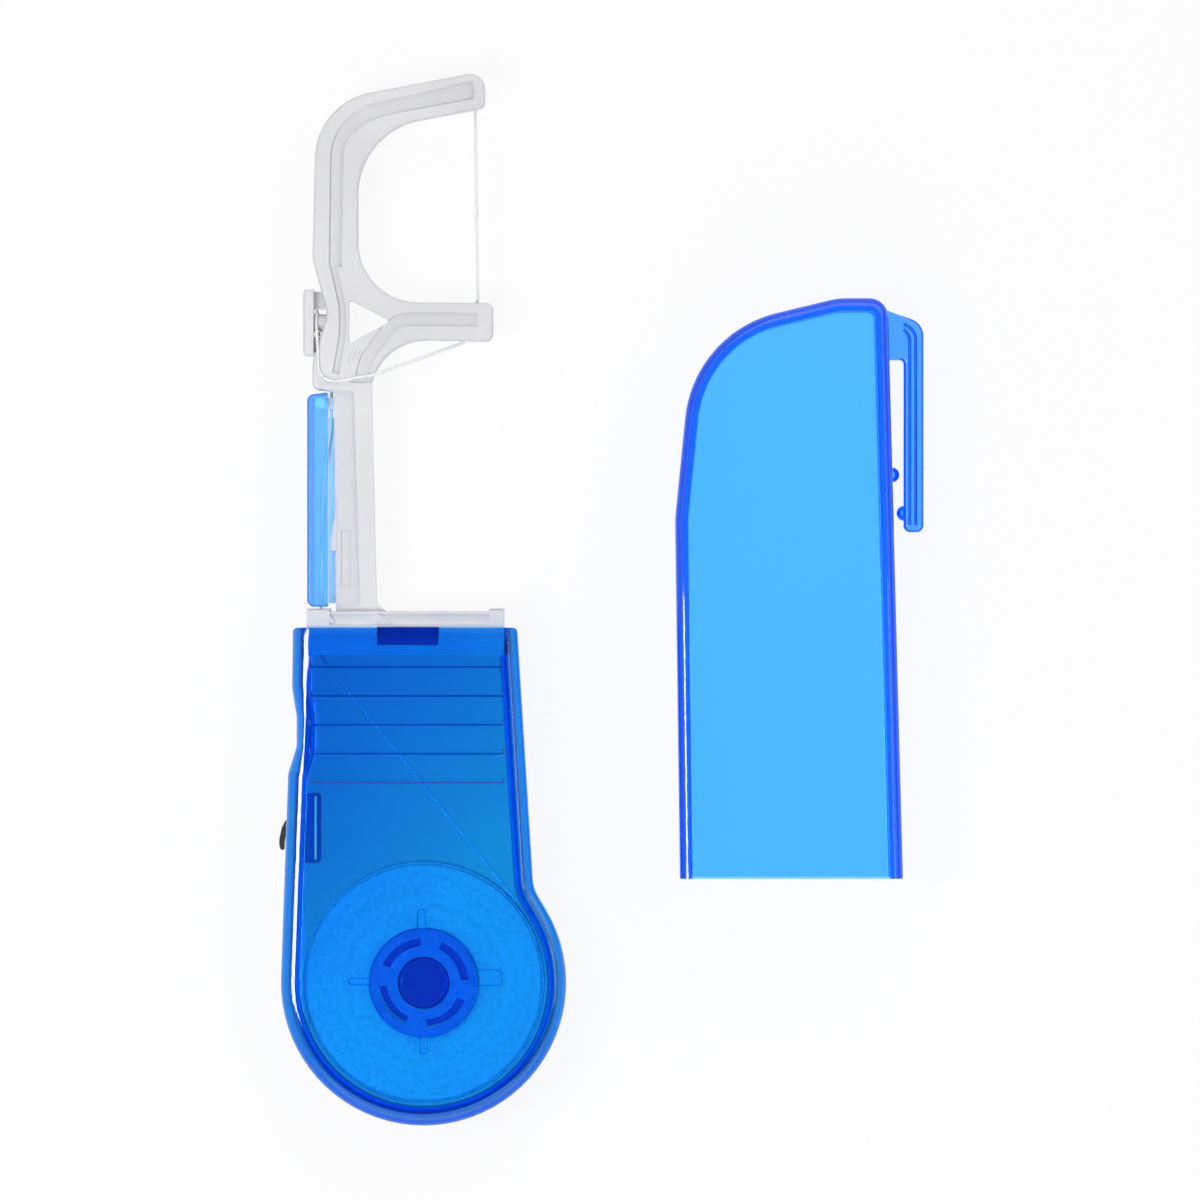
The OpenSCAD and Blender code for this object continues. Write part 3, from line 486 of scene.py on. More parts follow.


# The same clear azure as the tray, and dark blue lines painted as shade where grip bars meet the face.
lid_blue = clear_plastic("clear blue polystyrene, moulded cover", ("#50A8E8", "#60CCF0"), painted_shade_line,
                         "#4FD8FF", 260.0, "#0E96FF", 0.75, low_edge="#0E74FF", shadow="#4CA4C6",
                         ridge="#0A46C0")
face_line = inset(long_outline, face_in)
for corner in face_line:  # the face's left edge runs nearly straight past the rim's waist
    if corner.x < -8.0 and corner.y > 15.0:
        corner.x = face_left[0] - face_lean * (face_left[1] - corner.y)
rings = [(long_outline, split_z + 0.03), (long_outline, housing_t - edge_r)]
for i in range(1, arc_steps + 1):
    a = math.pi / 2 / arc_steps * i
    rings.append(([p + (q - p) * (1 - math.cos(a)) for p, q in zip(long_outline, face_line)],
                  housing_t - edge_r * (1 - math.sin(a))))
cover = loft("front_cover_moulding", rings)
room = push_up("room", inset(long_outline, rim_t), split_z - 3.0, housing_t - face_t)
round_over(room, at_height(housing_t - face_t), 0.7, 4)
fit(cover, room, "DIFFERENCE")
lip = push_up("lip", inset(long_outline, side_wall + lip_gap), split_z - 1.0, split_z + 0.6)
lip_room = push_up("lip_room", inset(long_outline, side_wall + lip_gap + lip_t), split_z - 3.0, split_z + 2.0)
fit(lip, lip_room, "DIFFERENCE")
fit(cover, lip, "UNION")
bars = []
for i in range(bar_count):
    bar_y = mouth_y - bar_first - bar_pitch * i
    ends = [(x, bar_y + y, bar_w / 2) for x, y in ((bar_left, -bar_w / 2), (bar_right, -bar_w / 2),
                                                   (bar_right, bar_w / 2), (bar_left, bar_w / 2))]
    bars.append(push_up("grip_bar", rounded(ends, 15.0), housing_t - 0.7, housing_t + bar_rise))
bars = join_up(bars)
round_over(bars, lambda m, w: abs(m.z - housing_t - bar_rise) < 0.002
           and ((mouth_y - bar_first - m.y) % bar_pitch < bar_pitch / 2
                or m.x < bar_left + 0.3 or m.x > bar_right - 0.3), 0.2, 1)
fit(cover, bars, "UNION")
plate_z = housing_t - face_t + 0.1
ring = disc("socket_ring", ring_r, plate_z - ring_depth, plate_z)
round_over(ring, at_height(plate_z - ring_depth), 0.2, 3)
fit(ring, disc("socket", ring_r - ring_wall, plate_z - 2.0, plate_z - 0.3), "DIFFERENCE")
fit(cover, ring, "UNION")
for low, high in (((-0.8, 6.5), (0.25, 9.2)), ((6.5, -0.35), (9.8, 1.7)),
                  ((-9.4, -0.27), (-6.5, 0.65)), ((-0.5, -8.9), (0.5, -6.5))):
    end = min(0.45, (high[1] - low[1]) / 2.2, (high[0] - low[0]) / 2.2)
    corners = [(low[0], low[1], end), (high[0], low[1], end), (high[0], high[1], end), (low[0], high[1], end)]
    rib = push_up("rib", rounded(corners, 15.0), plate_z - ring_depth, plate_z + 0.01)
    round_over(rib, at_height(plate_z - ring_depth), 0.15, 3)
    fit(cover, rib, "UNION")
trim_mouth(cover)
for name, low_y, top in (("plug_room", 40.8, 0.005), ("mouth_relief", 43.3, 0.35)):
    room = block(name, (room_left, low_y, face_t), (room_right, 60.0, housing_t - face_t + top))
    fit(cover, room, "DIFFERENCE")
polish(cover, lid_blue)
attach(cover, "cover")
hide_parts("front_cover")

# Mouth tab: a solid stop inside the cover's mouth that drops into the plug's notch. Its thickness
# makes it the darkest spot at the mouth, with a thinner step below it.
tab_left, tab_right = -5.7, 1.8
tab_blue = clear_plastic("clear blue polystyrene, solid tab", ("#5AA0F0", "#60A8F4"),
                         ((tab_left, 43.0), (tab_right, 43.0)), "#3468F0", 420.0, "#2030D8", 0.3)
tab = block("mouth_tab", (tab_left, 43.32, 10.4), (tab_right, 44.28, 11.82))
fit(tab, block("tab_step", (tab_left, 42.2, 10.9), (tab_right, 43.4, 11.47)), "UNION")
polish(tab, tab_blue)
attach(tab, "cover")
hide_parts("front_cover")

# Roll core: pale polypropylene, a hub that turns on the post, a web with four kidney-shaped
# holes and an outer tube that the floss is wound on.
core_r, core_low, core_top = 6.8, 1.8, 10.6
tube_t, hub_t, web_t = 1.0, 1.15, 1.4
kidney_in, kidney_out = 4.6, 5.6
kidney_half, kidney_turn = math.radians(31), 0.39
# Satin, with a 1 mm mottle just strong enough to break the highlight. Under the blue cover it reads
# as a violet-blue ring.
pale_plastic, tree = fresh_material("pale polypropylene, moulded")
place = add(tree, "ShaderNodeTexCoord").outputs["Object"]
grain = add(tree, "ShaderNodeTexNoise", {"Vector": place, "Scale": lumps(9, 10), "Detail": 3.0})
core_tint = ramp(tree, grain.outputs["Fac"], [(0.35, "#6F80D6"), (0.65, "#7E8EE0")])
core_bump = add(tree, "ShaderNodeBump",
                {"Height": grain.outputs["Fac"], "Strength": 0.15, "Distance": 0.1 * MM})
core_skin = add(tree, "ShaderNodeBsdfPrincipled", {"Base Color": core_tint, "Roughness": 0.42, "IOR": 1.49,
                                                   "Normal": core_bump.outputs[0]})
add(tree, "ShaderNodeOutputMaterial", {"Surface": core_skin.outputs[0]})
core = disc("roll_core_moulding", core_r - hair, core_low, core_top)
fit(core, disc("hub_bore", post_r + 0.05, 0.0, above), "DIFFERENCE")
under = disc("under", core_r - tube_t, 0.0, core_top - web_t)
fit(under, disc("hub", post_r + hub_t, -1.0, above), "DIFFERENCE")
fit(core, under, "DIFFERENCE")
for turn in range(4):
    middle = (turn + kidney_turn) * math.pi / 2
    sweep = [middle + kidney_half * i / 4 for i in range(-4, 5)]
    rim = [(kidney_out * math.cos(a), kidney_out * math.sin(a)) for a in sweep]
    rim += [(kidney_in * math.cos(a), kidney_in * math.sin(a)) for a in reversed(sweep)]
    fit(core, push_up("kidney", rim, 5.0, above), "DIFFERENCE")
polish(core, pale_plastic)
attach(core, "roll")
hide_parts("roll_core")

# Wound floss: waxed white nylon, wound level between the core and full width. The face shows the
# layers as fine rings, and the outer layer is one long helix of turns lying side by side.
floss_d = 0.4
roll_r = 15.1
wind_low, wind_top = 2.4, 10.0
# Soft wax sheen. Streaks 0.9 mm wide run round the roll like loose layers, and fibre 0.7 mm long, drawn
# coarser than real so that it shows, roughens them.
floss_white, tree = fresh_material("waxed nylon floss")
place = add(tree, "ShaderNodeTexCoord").outputs["Object"]
fibre = add(tree, "ShaderNodeTexNoise", {"Vector": place, "Scale": lumps(15, 10), "Detail": 3.0})
across = add(tree, "ShaderNodeVectorMath", {0: place, 1: (1.0, 1.0, 0.0)}, operation="MULTIPLY")
from_axis = add(tree, "ShaderNodeVectorMath", {0: across.outputs[0]}, operation="LENGTH")
drift = add(tree, "ShaderNodeTexNoise", {"Vector": place, "Scale": lumps(11, 100), "Detail": 2.0})
layer = add(tree, "ShaderNodeCombineXYZ", {"X": from_axis.outputs["Value"], "Y": 0.0, "Z": 0.0})
swept = add(tree, "ShaderNodeVectorMath",
            {0: drift.outputs["Color"], 1: (1.6 * MM, 1.6 * MM, 0.0), 2: layer.outputs[0]},
            operation="MULTIPLY_ADD")
streak = add(tree, "ShaderNodeTexNoise", {"Vector": swept.outputs[0], "Scale": lumps(11, 10), "Detail": 2.0})
mixed = add(tree, "ShaderNodeMath", {0: streak.outputs["Fac"], 1: 0.7, 2: fibre.outputs["Fac"]},
            operation="MULTIPLY_ADD")
floss_tint = ramp(tree, mixed.outputs[0], [(0.65, "#DADDE1"), (0.95, "#EEF0F1")])
floss_bump = add(tree, "ShaderNodeBump",
                 {"Height": fibre.outputs["Fac"], "Strength": 0.3, "Distance": 0.05 * MM})
floss_skin = add(tree, "ShaderNodeBsdfPrincipled", {"Base Color": floss_tint, "Roughness": 0.38, "IOR": 1.5,
                                                    "Normal": floss_bump.outputs[0], "Sheen Weight": 0.15})
add(tree, "ShaderNodeOutputMaterial", {"Surface": floss_skin.outputs[0]})


def draw_thread(name, points, r, sides=3):
    """A thread of radius r along points, in mm, as a closed mesh."""
    line = bpy.data.curves.new(name, "CURVE")
    line.dimensions = "3D"
    line.bevel_depth = r * MM
    line.bevel_resolution = sides
    line.use_fill_caps = True
    run = line.splines.new("POLY")
    run.points.add(len(points) - 1)
    for knot, (x, y, z) in zip(run.points, points):
        knot.co = (x * MM, y * MM, z * MM, 1.0)
    piece = bpy.data.objects.new(name, line)
    bpy.context.scene.collection.objects.link(piece)
    bpy.ops.object.select_all(action="DESELECT")
    bpy.context.view_layer.objects.active = piece
    piece.select_set(True)
    bpy.ops.object.convert(target="MESH")
    bpy.ops.object.mode_set(mode="EDIT")
    bpy.ops.mesh.select_all(action="SELECT")
    bpy.ops.mesh.remove_doubles(threshold=0.000001)
    bpy.ops.mesh.normals_make_consistent(inside=False)
    bpy.ops.object.mode_set(mode="OBJECT")
    return bpy.context.object


layers = 20
inner_r = core_r + 0.03
drum_r = roll_r - floss_d
pitch = (drum_r - inner_r) / layers
dip = 0.09
ridge = [(inner_r, wind_low + 0.1)]
for side, z in ((1, wind_low), (-1, wind_top)):
    rows = range(layers * 2 + 1) if side == 1 else range(layers * 2, -1, -1)
    for i in rows:
        ridge.append((inner_r + pitch * i / 2, z + side * (dip if i % 2 == 0 else 0.0)))
bpy.ops.object.select_all(action="DESELECT")
bpy.ops.mesh.primitive_circle_add(vertices=len(ridge), radius=0.01, fill_type="NOTHING", location=(0, 0, 0))
winding = bpy.context.object
winding.name = winding.data.name = "wound_floss"
for corner, (x, z) in zip(winding.data.vertices, ridge):
    corner.co = (x * MM, 0.0, z * MM)
bpy.ops.object.mode_set(mode="EDIT")
bpy.ops.mesh.select_all(action="SELECT")
bpy.ops.mesh.spin(steps=120, angle=math.tau, center=(0, 0, 0), axis=(0, 0, 1))
bpy.ops.mesh.select_all(action="SELECT")
bpy.ops.mesh.remove_doubles(threshold=0.00001)
bpy.ops.mesh.normals_make_consistent(inside=False)
bpy.ops.object.mode_set(mode="OBJECT")
turns = 16
per_turn = 72
helix_r = roll_r - floss_d / 2
leave = math.radians(38.0)
helix = []
for i in range(turns * per_turn + 1):
    a = leave - math.tau * i / per_turn
    z = wind_top - floss_d / 2 - 0.2 - i / per_turn * (wind_top - wind_low - floss_d - 0.2) / turns
    helix.append((helix_r * math.cos(a), helix_r * math.sin(a), z))
winding = join_up([winding, draw_thread("outer_turns", helix, floss_d / 2)])
polish(winding, floss_white, 60.0)
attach(winding, "roll")
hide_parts("floss_winding")

# Fork head: one moulding of white polypropylene, the fork with its floss grooves, the stem and the
# plug that sits in the mouth. The edges of the fork's outline, the cleat and the plug's end are softened
# as a mould leaves them.
fork_x, fork_y = -13.95, 73.9
fork_w, fork_h = 22.6, 40.0
head_low, head_mid, head_high = 4.5, 6.5, 8.5
groove_w, groove_d, tip_groove_w = 1.65, 1.2, 0.8
front_d, arm_d, tick_d = 0.5, 0.4, 0.15
hinge = (-12.85, 72.3)
cleat_y, neck_r = 82.4, 1.1
# Waxy satin white. Clouds of sheen 11 mm across and a fine 0.7 mm grain keep it from looking flat,
# and the floors of the grooves are painted a little greyer than the face, as painted shade.
white_plastic, tree = fresh_material("white polypropylene, moulded")
place = add(tree, "ShaderNodeTexCoord").outputs["Object"]
cloud = add(tree, "ShaderNodeTexNoise", {"Vector": place, "Scale": lumps(9, 100), "Detail": 2.0})
grain = add(tree, "ShaderNodeTexNoise", {"Vector": place, "Scale": lumps(14, 10), "Detail": 2.0})
level = add(tree, "ShaderNodeSeparateXYZ", {0: place}).outputs["Z"]
# Painted shade: what lies lower than the top face takes the greyer tint.
recess = add(tree, "ShaderNodeMapRange", {"Value": level, "From Min": (head_high - 0.4) * MM,
                                          "From Max": (head_high - 0.1) * MM})
face_tint = ramp(tree, cloud.outputs["Fac"], [(0.3, "#DDDDE0"), (0.7, "#E5E5E7")])
groove_shade_tint = ramp(tree, cloud.outputs["Fac"], [(0.3, "#D9D9DC"), (0.7, "#E0E0E3")])
head_tint = add(tree, "ShaderNodeMix", {"Factor": recess.outputs[0], 6: groove_shade_tint, 7: face_tint},
                data_type="RGBA")
head_gloss = add(tree, "ShaderNodeMapRange", {"Value": cloud.outputs["Fac"], "To Min": 0.3, "To Max": 0.42})
head_bump = add(tree, "ShaderNodeBump",
                {"Height": grain.outputs["Fac"], "Strength": 0.1, "Distance": 0.05 * MM})
head_skin = add(tree, "ShaderNodeBsdfPrincipled",
                {"Base Color": head_tint.outputs[2], "Roughness": head_gloss.outputs[0],
                 "Normal": head_bump.outputs[0], "IOR": 1.49, "Subsurface Weight": 0.08,
                 "Subsurface Scale": 0.8 * MM})
add(tree, "ShaderNodeOutputMaterial", {"Surface": head_skin.outputs[0]})


def on_fork(shares):
    """Corners given as shares of the fork's width and height, in mm."""
    return [(fork_x + c[0] * fork_w, fork_y + c[1] * fork_h, c[2] * fork_w) for c in shares]


def open_path(corners, step=6.0):
    """A path with its inner corners rounded."""
    first, last = Vector(corners[0][:2]), Vector(corners[-1][:2])
    if len(corners) == 2:
        return [first, last]
    return rounded([(first.x, first.y, 0.0), *corners[1:-1], (last.x, last.y, 0.0)], step)


def band(path, w):
    """The outline of a groove of width w along a path."""
    ways = [(b - a).normalized() for a, b in zip(path, path[1:])]
    sides = []
    for i in range(len(path)):
        a, b = ways[max(i - 1, 0)], ways[min(i, len(ways) - 1)]
        na, nb = Vector((-a.y, a.x)), Vector((-b.y, b.x))
        middle = (na + nb).normalized()
        sides.append(middle / middle.dot(na))
    right = [p - s * w / 2 for p, s in zip(path, sides)]
    return right + [p + s * w / 2 for p, s in reversed(list(zip(path, sides)))]


fork_corners = [
    (0.223, -0.035, 0), (0.319, -0.035, 0), (0.319, 0.161, 0.31), (1, 0.154, 0.04), (1, 0.275, 0.04),
    (0.253, 0.277, 0.336), (0.253, 0.81, 0.412), (0.956, 0.884, 0.04), (0.956, 1, 0.084), (0.02, 0.9, 0.376),
    (0, 0.41, 0.155), (0.084, 0.242, 0.111), (0, 0.085, 0.133), (0, 0.005, 0.04), (0.117, -0.004, 0.066),
    (0.223, 0.021, 0)]
window = [(0.201, 0.147, 0.013), (0.431, 0.217, 0.013), (0.201, 0.287, 0.013)]
front_run = [(0.89, 0.95, 0), (0.139, 0.846, 0.27), (0.127, 0.388, 0)]
foot_run = [(0.114, 0.395, 0), (0.167, 0.26, 0.1), (0.167, 0.175, 0.1), (0.13, 0.055, 0)]
arm_run = [(0.912, 0.222, 0), (0.46, 0.225, 0.16), (0.3, 0.1, 0.1), (0.262, 0.02, 0)]
foot_ticks = [[(0.2 + 0.025 * i, 0.09 + 0.004 * i, 0), (0.215 + 0.025 * i, 0.118 + 0.004 * i, 0)]
              for i in range(3)]
back_run = [(0.865, 0.93, 0), (0.126, 0.851, 0.27), (0.111, 0.415, 0.133), (0.142, 0.307, 0.133),
            (0.142, 0.165, 0.133), (0.104, -0.06, 0)]
upper_tip_run = [(0.865, 0.93, 0), (0.92, 0.86, 0)]
lower_tip_run = [(0.918, 0.3, 0), (0.83, 0.13, 0)]
tip_recess = [(0.89, 0.965, 0), (0.3, 0.895, 0), (0.17, 0.82, 0), (0.214, 0.8, 0), (0.3, 0.838, 0),
              (0.42, 0.862, 0), (0.89, 0.912, 0)]
head = push_up("fork_head_moulding", rounded(on_fork(fork_corners)), head_low, head_high)
round_over(head, lambda m, w: m.y > 72.7 and (at_height(head_low)(m, w) or at_height(head_high)(m, w)),
           0.4, 4)
fit(head, push_up("window", rounded(on_fork(window)), 0.0, above), "DIFFERENCE")
grooves = [(front_run, groove_w, head_high - front_d, above), (foot_run, 0.9, head_high - front_d, above),
           (arm_run, 1.7, head_high - arm_d, above)]
grooves += [(tick, 0.16, head_high - tick_d, above) for tick in foot_ticks]
grooves += [(back_run, groove_w, 0.0, head_low + groove_d), (upper_tip_run, tip_groove_w, 0.0, 7.0),
            (lower_tip_run, tip_groove_w, 0.0, 7.0)]
for run, w, low, high in grooves:
    fit(head, push_up("groove", band(open_path(on_fork(run)), w), low, high), "DIFFERENCE")
recess_line = [corner[:2] for corner in reversed(on_fork(tip_recess))]
fit(head, push_up("tip_recess", recess_line, head_high - front_d, above), "DIFFERENCE")
stem_line = [(-10.95, 44.7), (-4.4, 44.7), (-4.4, 46.0), (-5.95, 47.4), (-6.55, 74.9), (-11.25, 74.9)]
fit(head, push_up("stem", stem_line, head_low + 0.01, head_high - 0.01), "UNION")
panel = rounded([(-12.95, 47.05, 0.0), (-7.95, 47.05, 0.8), (-8.75, 73.9, 0.3), (-12.95, 73.9, 0.0)])
fit(head, push_up("front_panel", panel, head_high - 0.55, above), "DIFFERENCE")
fit(head, push_up("back_panel", panel, 0.0, head_low + 0.8), "DIFFERENCE")
fit(head, block("slot", (-10.35, 49.3, head_high - 0.8), (-9.15, 56.5, above)), "DIFFERENCE")
plug_low, plug_high = 1.6, 11.4
plug_left, pad_left, pad_right, plug_right = -14.6, -11.7, 8.2, 10.0
plug_foot, recess_foot, plug_end, pad_end = 40.9, 44.65, 46.35, 46.7
plug = block("plug", (plug_left, plug_foot, plug_low), (plug_right, plug_end, plug_high))
fit(plug, block("left_end", (plug_left, plug_foot, plug_low), (pad_left, pad_end, plug_high)), "UNION")
fit(plug, block("right_end", (pad_right, plug_foot, plug_low), (plug_right, pad_end, plug_high)), "UNION")
round_over(plug, lambda m, w: m.y > 44.0 and (at_height(plug_high)(m, w) or at_height(plug_low)(m, w)),
           0.2, 2)
fit(plug, block("front_recess", (pad_left, recess_foot, plug_high - 0.45), (pad_right, 46.05, above)),
    "DIFFERENCE")
for web in (((-12.0, 44.9), (-11.0, 44.9), (-12.0, 46.4)),
            ((-6.6, 44.9), (-3.8, 44.9), (-6.0, 46.3), (-6.6, 46.3))):
    fit(plug, push_up("gusset", web, plug_high - 0.6, plug_high - 0.15), "UNION")
fit(plug, block("back_recess", (pad_left, recess_foot, below), (pad_right, 46.0, plug_low + 0.9)),
    "DIFFERENCE")
for z0, z1, z2 in ((10.3, 10.8, above), (2.7, 2.2, below)):
    fit(plug, block("notch", (-5.8, 43.1, min(z0, z2)), (1.9, 44.4, max(z0, z2))), "DIFFERENCE")
    fit(plug, block("notch_step", (-5.8, 42.1, min(z1, z2)), (1.9, 43.3, max(z1, z2))), "DIFFERENCE")
fit(head, plug, "UNION")
cleat = block("cleat", (-15.1, 78.25, 4.0), (-13.8, 86.55, 9.0))
round_over(cleat, lambda m, w: m.x < -14.9 or abs(w.x) > 0.9, 0.45, 4)
neck = disc("neck", neck_r, 0.0, 2.1, count=40)
neck_place = Matrix.Translation((-13.9 * MM, cleat_y * MM, head_mid * MM))
neck.data.transform(neck_place @ Matrix.Rotation(math.pi / 2, 4, "Y"))
fit(head, neck, "UNION")
for low, high in ((78.7, 80.7), (84.1, 86.3)):
    fit(head, block("cleat_web", (-14.2, low, head_mid - 0.6), (-12.4, high, head_mid + 0.6)), "UNION")
fit(head, cleat, "UNION")
arm = block("lever_arm", (hinge[0], 71.5, head_mid - 0.8), (-10.95, 73.1, head_mid + 0.8))
fit(arm, disc("boss", 0.85, head_mid - 1.6, head_mid + 1.6, *hinge, 40), "UNION")
fit(arm, disc("pins", 0.6, head_mid - 1.9, head_mid + 1.9, *hinge, 32), "UNION")
fit(head, arm, "UNION")
catch_line = [(-10.85, 53.9), (-10.85, 60.2), (-11.7, 54.65), (-11.7, 53.9)]
fit(head, push_up("catch", catch_line, head_mid - 1.6, head_mid + 1.6), "UNION")
fit(head, block("lever_shelf", (-11.95, 47.4, 4.55), (-11.0, 70.6, 5.05)), "UNION")
fit(head, block("feed", (-13.6, 30.0, 5.5), (-12.4, 47.7, 7.5)), "DIFFERENCE")
polish(head, white_plastic, 40.0)
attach(head, "body")
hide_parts("floss_head")

# Lock lever: a channel moulded in milky light blue polypropylene that closes over the floss and
# the stem's edge. It swings on two stub pins under the fork's foot.
lever_left, lever_right = -14.6, -12.0
lever_low, lever_top = 46.9, 73.7
lever_z0, lever_z1 = 4.0, 9.0
lever_r, lever_edge = 0.9, 0.25
bead_w, bead_d = 0.16, 0.12
lever_blue = clear_plastic("light blue polypropylene, moulded", ("#B4E4FF", "#BCE8FF"),
                           ((-14.6, 50.0), (-11.6, 70.0)), "#70C8FF", 300.0, "#3EA0FF", 0.5, haze=0.16)
lever_corners = [(lever_left, lever_low, lever_r), (lever_right, lever_low, lever_edge),
                 (lever_right, lever_top, lever_edge), (lever_left, lever_top - 0.3, lever_r)]
lever = push_up("lock_lever_channel", rounded(lever_corners), lever_z0, lever_z1)
round_over(lever, lambda m, w: (at_height(lever_z0)(m, w) or at_height(lever_z1)(m, w))
           and m.x < lever_right - 0.02, 0.4, 4)
fit(lever, block("channel", (-13.8, 40.0, 4.8), (0.0, 80.0, 8.2)), "DIFFERENCE")
fit(lever, disc("pin_holes", 0.65, 4.5, 8.5, *hinge, 40), "DIFFERENCE")
for x in (-14.0, -12.45):
    bead = block("bead_line", (x - bead_w / 2, 47.8, lever_z1 - bead_d), (x + bead_w / 2, 72.6, above))
    fit(lever, bead, "DIFFERENCE")
polish(lever, lever_blue)
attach(lever, "lever")
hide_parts("lock_lever")

# Threaded floss: one strand from the roll through the plug and the lever, up the back groove, across
# both tips, round the fork's foot and once round the cleat. It is held taut all the way.
lead_r = roll_r + floss_d / 2 + 0.05
lead_a = math.radians(40.4)
stops = [((lead_r * math.cos(lead_a), lead_r * math.sin(lead_a), 9.5), 0.0), ((-12.9, 40.6, 7.0), 1.2),
         ((-12.9, 47.5, 6.2), 1.5), ((-12.7, 62.0, 5.9), 3.0), ((-11.62, 70.0, 5.35), 1.5),
         ((-11.62, 74.0, 5.3), 1.5)]
for x, y, z, d in ((0.135, 0.1525, -0.3, 0.13), (0.14, 0.315, -0.3, 0.11), (0.113, 0.4275, -0.3, 0.11),
                   (0.126, 0.8475, -0.3, 0.22), (0.865, 0.93, -0.3, 0.035), (0.9, 0.89, -0.025, 0.027),
                   (0.914, 0.2775, -0.025, 0.027), (0.843, 0.1525, 0.025, 0.027),
                   (0.361, 0.0525, 0.6, 0.044), (0.095, 0.025, 0.575, 0.053),
                   (0.033, 0.0575, 0.575, 0.035), (0.029, 0.1425, 0.5875, 0.035)):
    height = head_mid + z * (head_high - head_low)
    stops.append(((fork_x + x * fork_w, fork_y + y * fork_h, height), d * fork_w))
wrap_steps, wrap_drift = 32, 0.45
wrap_r = (neck_r + floss_d / 2 + 0.05) / math.cos(math.pi / 8)
wrap = []
for i in range(wrap_steps - 3):
    a = math.pi / 2 - math.tau * i / wrap_steps
    wrap.append(Vector((-13.5 + wrap_drift * i / wrap_steps, cleat_y + wrap_r * math.cos(a),
                        head_mid + wrap_r * math.sin(a))))
strand_run = [Vector(stops[0][0])]
for i in range(1, len(stops)):
    here, d = Vector(stops[i][0]), stops[i][1]
    before = Vector(stops[i - 1][0])
    after = Vector(stops[i + 1][0]) if i + 1 < len(stops) else wrap[0]
    a, b = here + (before - here).normalized() * d, here + (after - here).normalized() * d
    for t in (0.0, 0.17, 0.33, 0.5, 0.67, 0.83, 1.0):
        strand_run.append((1 - t) ** 2 * a + 2 * t * (1 - t) * here + t * t * b)
strand = draw_thread("threaded_floss", [*strand_run, *wrap], floss_d / 2 - 0.01)
# Brighter than the wound roll, because it is stretched smooth, with only a trace of fibre.
strand_white, tree = fresh_material("waxed nylon floss, drawn taut")
place = add(tree, "ShaderNodeTexCoord").outputs["Object"]
fibre = add(tree, "ShaderNodeTexNoise", {"Vector": place, "Scale": lumps(7, 10), "Detail": 2.0})
strand_tint = ramp(tree, fibre.outputs["Fac"], [(0.35, "#F0F1F2"), (0.65, "#F6F7F7")])
strand_bump = add(tree, "ShaderNodeBump",
                  {"Height": fibre.outputs["Fac"], "Strength": 0.1, "Distance": 0.05 * MM})
strand_skin = add(tree, "ShaderNodeBsdfPrincipled", {"Base Color": strand_tint, "Roughness": 0.4, "IOR": 1.5,
                                                     "Normal": strand_bump.outputs[0], "Sheen Weight": 0.15})
add(tree, "ShaderNodeOutputMaterial", {"Surface": strand_skin.outputs[0]})
polish(strand, strand_white, 60.0)
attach(strand, "body")
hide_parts("floss_strand")

# Cutter: a strip of blackened spring steel pressed into its pocket, with one barb bent out through
# the wall's window and along the outside.
strip_x, strip_t = -15.34, 0.45
strip_low, strip_high = 3.3, 7.3
# Nearly black and half shiny. Fine scratches run along the strip, 0.25 mm apart, coarser than real ones
# so that they show.
steel, tree = fresh_material("blackened spring steel, stamped")
place = add(tree, "ShaderNodeTexCoord").outputs["Object"]
drawn_out = add(tree, "ShaderNodeMapping",
                {"Vector": place, "Scale": (lumps(4, 1), lumps(2, 10), lumps(2, 10))})
scratch = add(tree, "ShaderNodeTexNoise", {"Vector": drawn_out.outputs[0], "Scale": 1.0, "Detail": 3.0})
steel_tint = ramp(tree, scratch.outputs["Fac"], [(0.3, "#0E0F10"), (0.75, "#1E2022")])
steel_gloss = add(tree, "ShaderNodeMapRange",
                  {"Value": scratch.outputs["Fac"], "To Min": 0.25, "To Max": 0.45})
steel_bump = add(tree, "ShaderNodeBump",
                 {"Height": scratch.outputs["Fac"], "Strength": 0.2, "Distance": 0.03 * MM})
steel_skin = add(tree, "ShaderNodeBsdfPrincipled",
                 {"Base Color": steel_tint, "Roughness": steel_gloss.outputs[0], "Metallic": 0.6,
                  "Normal": steel_bump.outputs[0]})
add(tree, "ShaderNodeOutputMaterial", {"Surface": steel_skin.outputs[0]})
cutter = block("cutter_strip", (strip_x, 15.1, strip_low), (strip_x + strip_t, 23.4, strip_high))
barb_line = [(strip_x + 0.1, 19.92), (-17.35, 20.2), (-17.8, 19.3), (-18.12, 17.8), (-18.1, 17.0),
             (-17.9, 16.5), (-17.52, 16.5), (-17.5, 17.32), (-17.2, 19.65), (strip_x + 0.1, 19.7)]
barb = push_up("barb", barb_line, strip_low, strip_high)
round_over(barb, lambda m, w: abs(w.z) > 0.9 and m.x < -16.9, 0.08, 2)
fit(cutter, barb, "UNION")
polish(cutter, steel)
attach(cutter, "body")
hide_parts("cutter_blade")

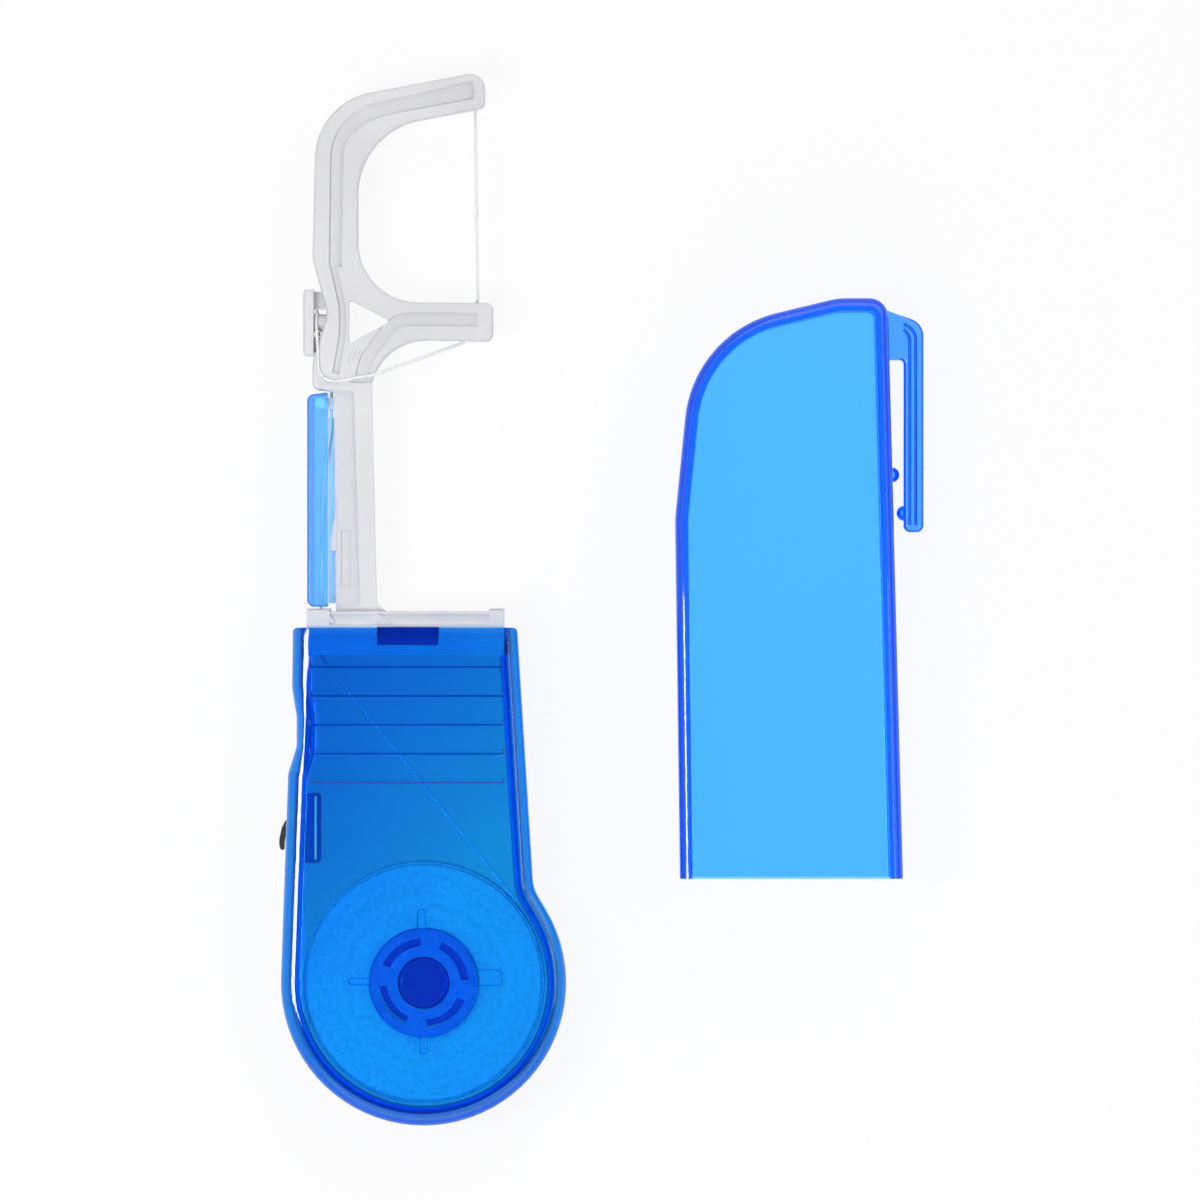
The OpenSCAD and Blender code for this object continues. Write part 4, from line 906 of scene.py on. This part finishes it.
# Cap: a deep clear blue pocket for the head, 1.35 mm at the faces and 1.4 mm at the sides, with its
# pocket clip in one moulding. It lies beside the holder as in the photograph.
aside = Vector((48.1, -31.3))
cap_wall, cap_face, cap_edge_r = 1.4, 1.35, 1.2
cap_len, cap_lean = 72.4, 1.9
cap_left, cap_right = -16.15, 11.7
cap_top = mouth_y + cap_len
blank_foot = mouth_y - 3.4
clip_w, clip_t, clip_gap, clip_len = 6.0, 2.5, 1.45, 27.0
dome_r = 0.95
line_narrow, line_wide, line_d = 0.04, 0.5, 0.3
# The rim carries the painted glow, in a lighter colour on the upright walls.
cap_blue = clear_plastic("clear light blue polystyrene, moulded cap", ("#ABEEFF", "#B2F1FF"),
                         ((20.0, 20.0), (60.0, 80.0)), "#5BC8FF", 300.0, "#0A70FF", 0.5, side="#4EA6FF")
cap_corners = [
    (cap_left, blank_foot, 0.0), (cap_right, blank_foot, 0.0), (cap_right, mouth_y, 0.0),
    (cap_right - cap_lean, cap_top, cap_edge_r * 2), (3.55, cap_top, 7.5),
    (cap_left + 1.7, cap_top - 4.35, 15.0), (cap_left - 0.6, mouth_y + cap_len * 0.62, 15.0),
    (cap_left, mouth_y, 0.0)]
cap_line = [p + aside for p in rounded(cap_corners, 4.0)]
cap = push_up("cap_moulding", cap_line, 0.0, housing_t)
round_over(cap, at_height(0.0), cap_edge_r, 5)
round_over(cap, at_height(housing_t), cap_edge_r, 5)


def cap_side(y):
    """Where the cap's right side is at y, before the cap is laid aside."""
    return cap_right - cap_lean * (y - mouth_y) / cap_len


dome_y = cap_top - 22.0
bridge_y = cap_top - 2.2
root_x = cap_side(bridge_y) - 0.7
in_x = cap_side(dome_y) + clip_gap
out_x = in_x + clip_t
end_y = bridge_y - clip_len
clip_low, clip_high = head_mid - clip_w / 2, head_mid + clip_w / 2
clip_corners = [
    (root_x, bridge_y - 5.5, 0.0), (in_x, bridge_y - 5.5, 0.45), (in_x, end_y, 0.9), (out_x, end_y, 0.9),
    (out_x, bridge_y - 0.9, 2.2), (root_x, bridge_y + 0.9, 0.0)]
clip = push_up("pocket_clip", [p + aside for p in rounded(clip_corners)], clip_low, clip_high)
round_over(clip, lambda m, w: abs(w.z) < 0.01 and m.x > (cap_right + aside.x - 0.4), 0.5, 4)
for x, y in ((cap_side(dome_y) + 0.03, dome_y), (in_x + 0.12, dome_y - 4.8)):
    bpy.ops.object.select_all(action="DESELECT")
    bpy.ops.mesh.primitive_uv_sphere_add(segments=32, ring_count=16, radius=dome_r * MM, location=(0, 0, 0))
    dome = bpy.context.object
    dome.data.transform(Matrix.Translation(((x + aside.x) * MM, (y + aside.y) * MM, head_mid * MM)))
    fit(clip if x > cap_right else cap, dome, "UNION")
fit(cap, clip, "UNION")
for off in (0.75, 1.5):
    to_edge = out_x - in_x - off
    line = [(in_x + off, end_y + 0.9, 0.0), (in_x + off, bridge_y - 0.9 - to_edge * 0.8, 1.6 + off * 0.3),
            (cap_right + 0.1, bridge_y - 0.1 - to_edge * 0.9, 0.0)]
    narrow, wide = ([p + aside for p in band(open_path(line), w)] for w in (line_narrow, line_wide))
    foot = clip_high - line_d
    groove = loft("clip_line", [(narrow, foot), (narrow, foot + 0.02), (wide, clip_high + 0.1)])
    fit(cap, groove, "DIFFERENCE")
inside = push_up("inside", inset(cap_line, cap_wall), cap_face, housing_t - cap_face)
round_over(inside, at_height(cap_face), 0.3, 3)
round_over(inside, at_height(housing_t - cap_face), 0.3, 3)
fit(cap, inside, "DIFFERENCE")
fit(cap, block("past", (0.0, -10.0, below), (80.0, mouth_y + aside.y + 0.003, above)), "DIFFERENCE")
polish(cap, cap_blue)
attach(cap, "cap")
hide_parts("cap_shell")
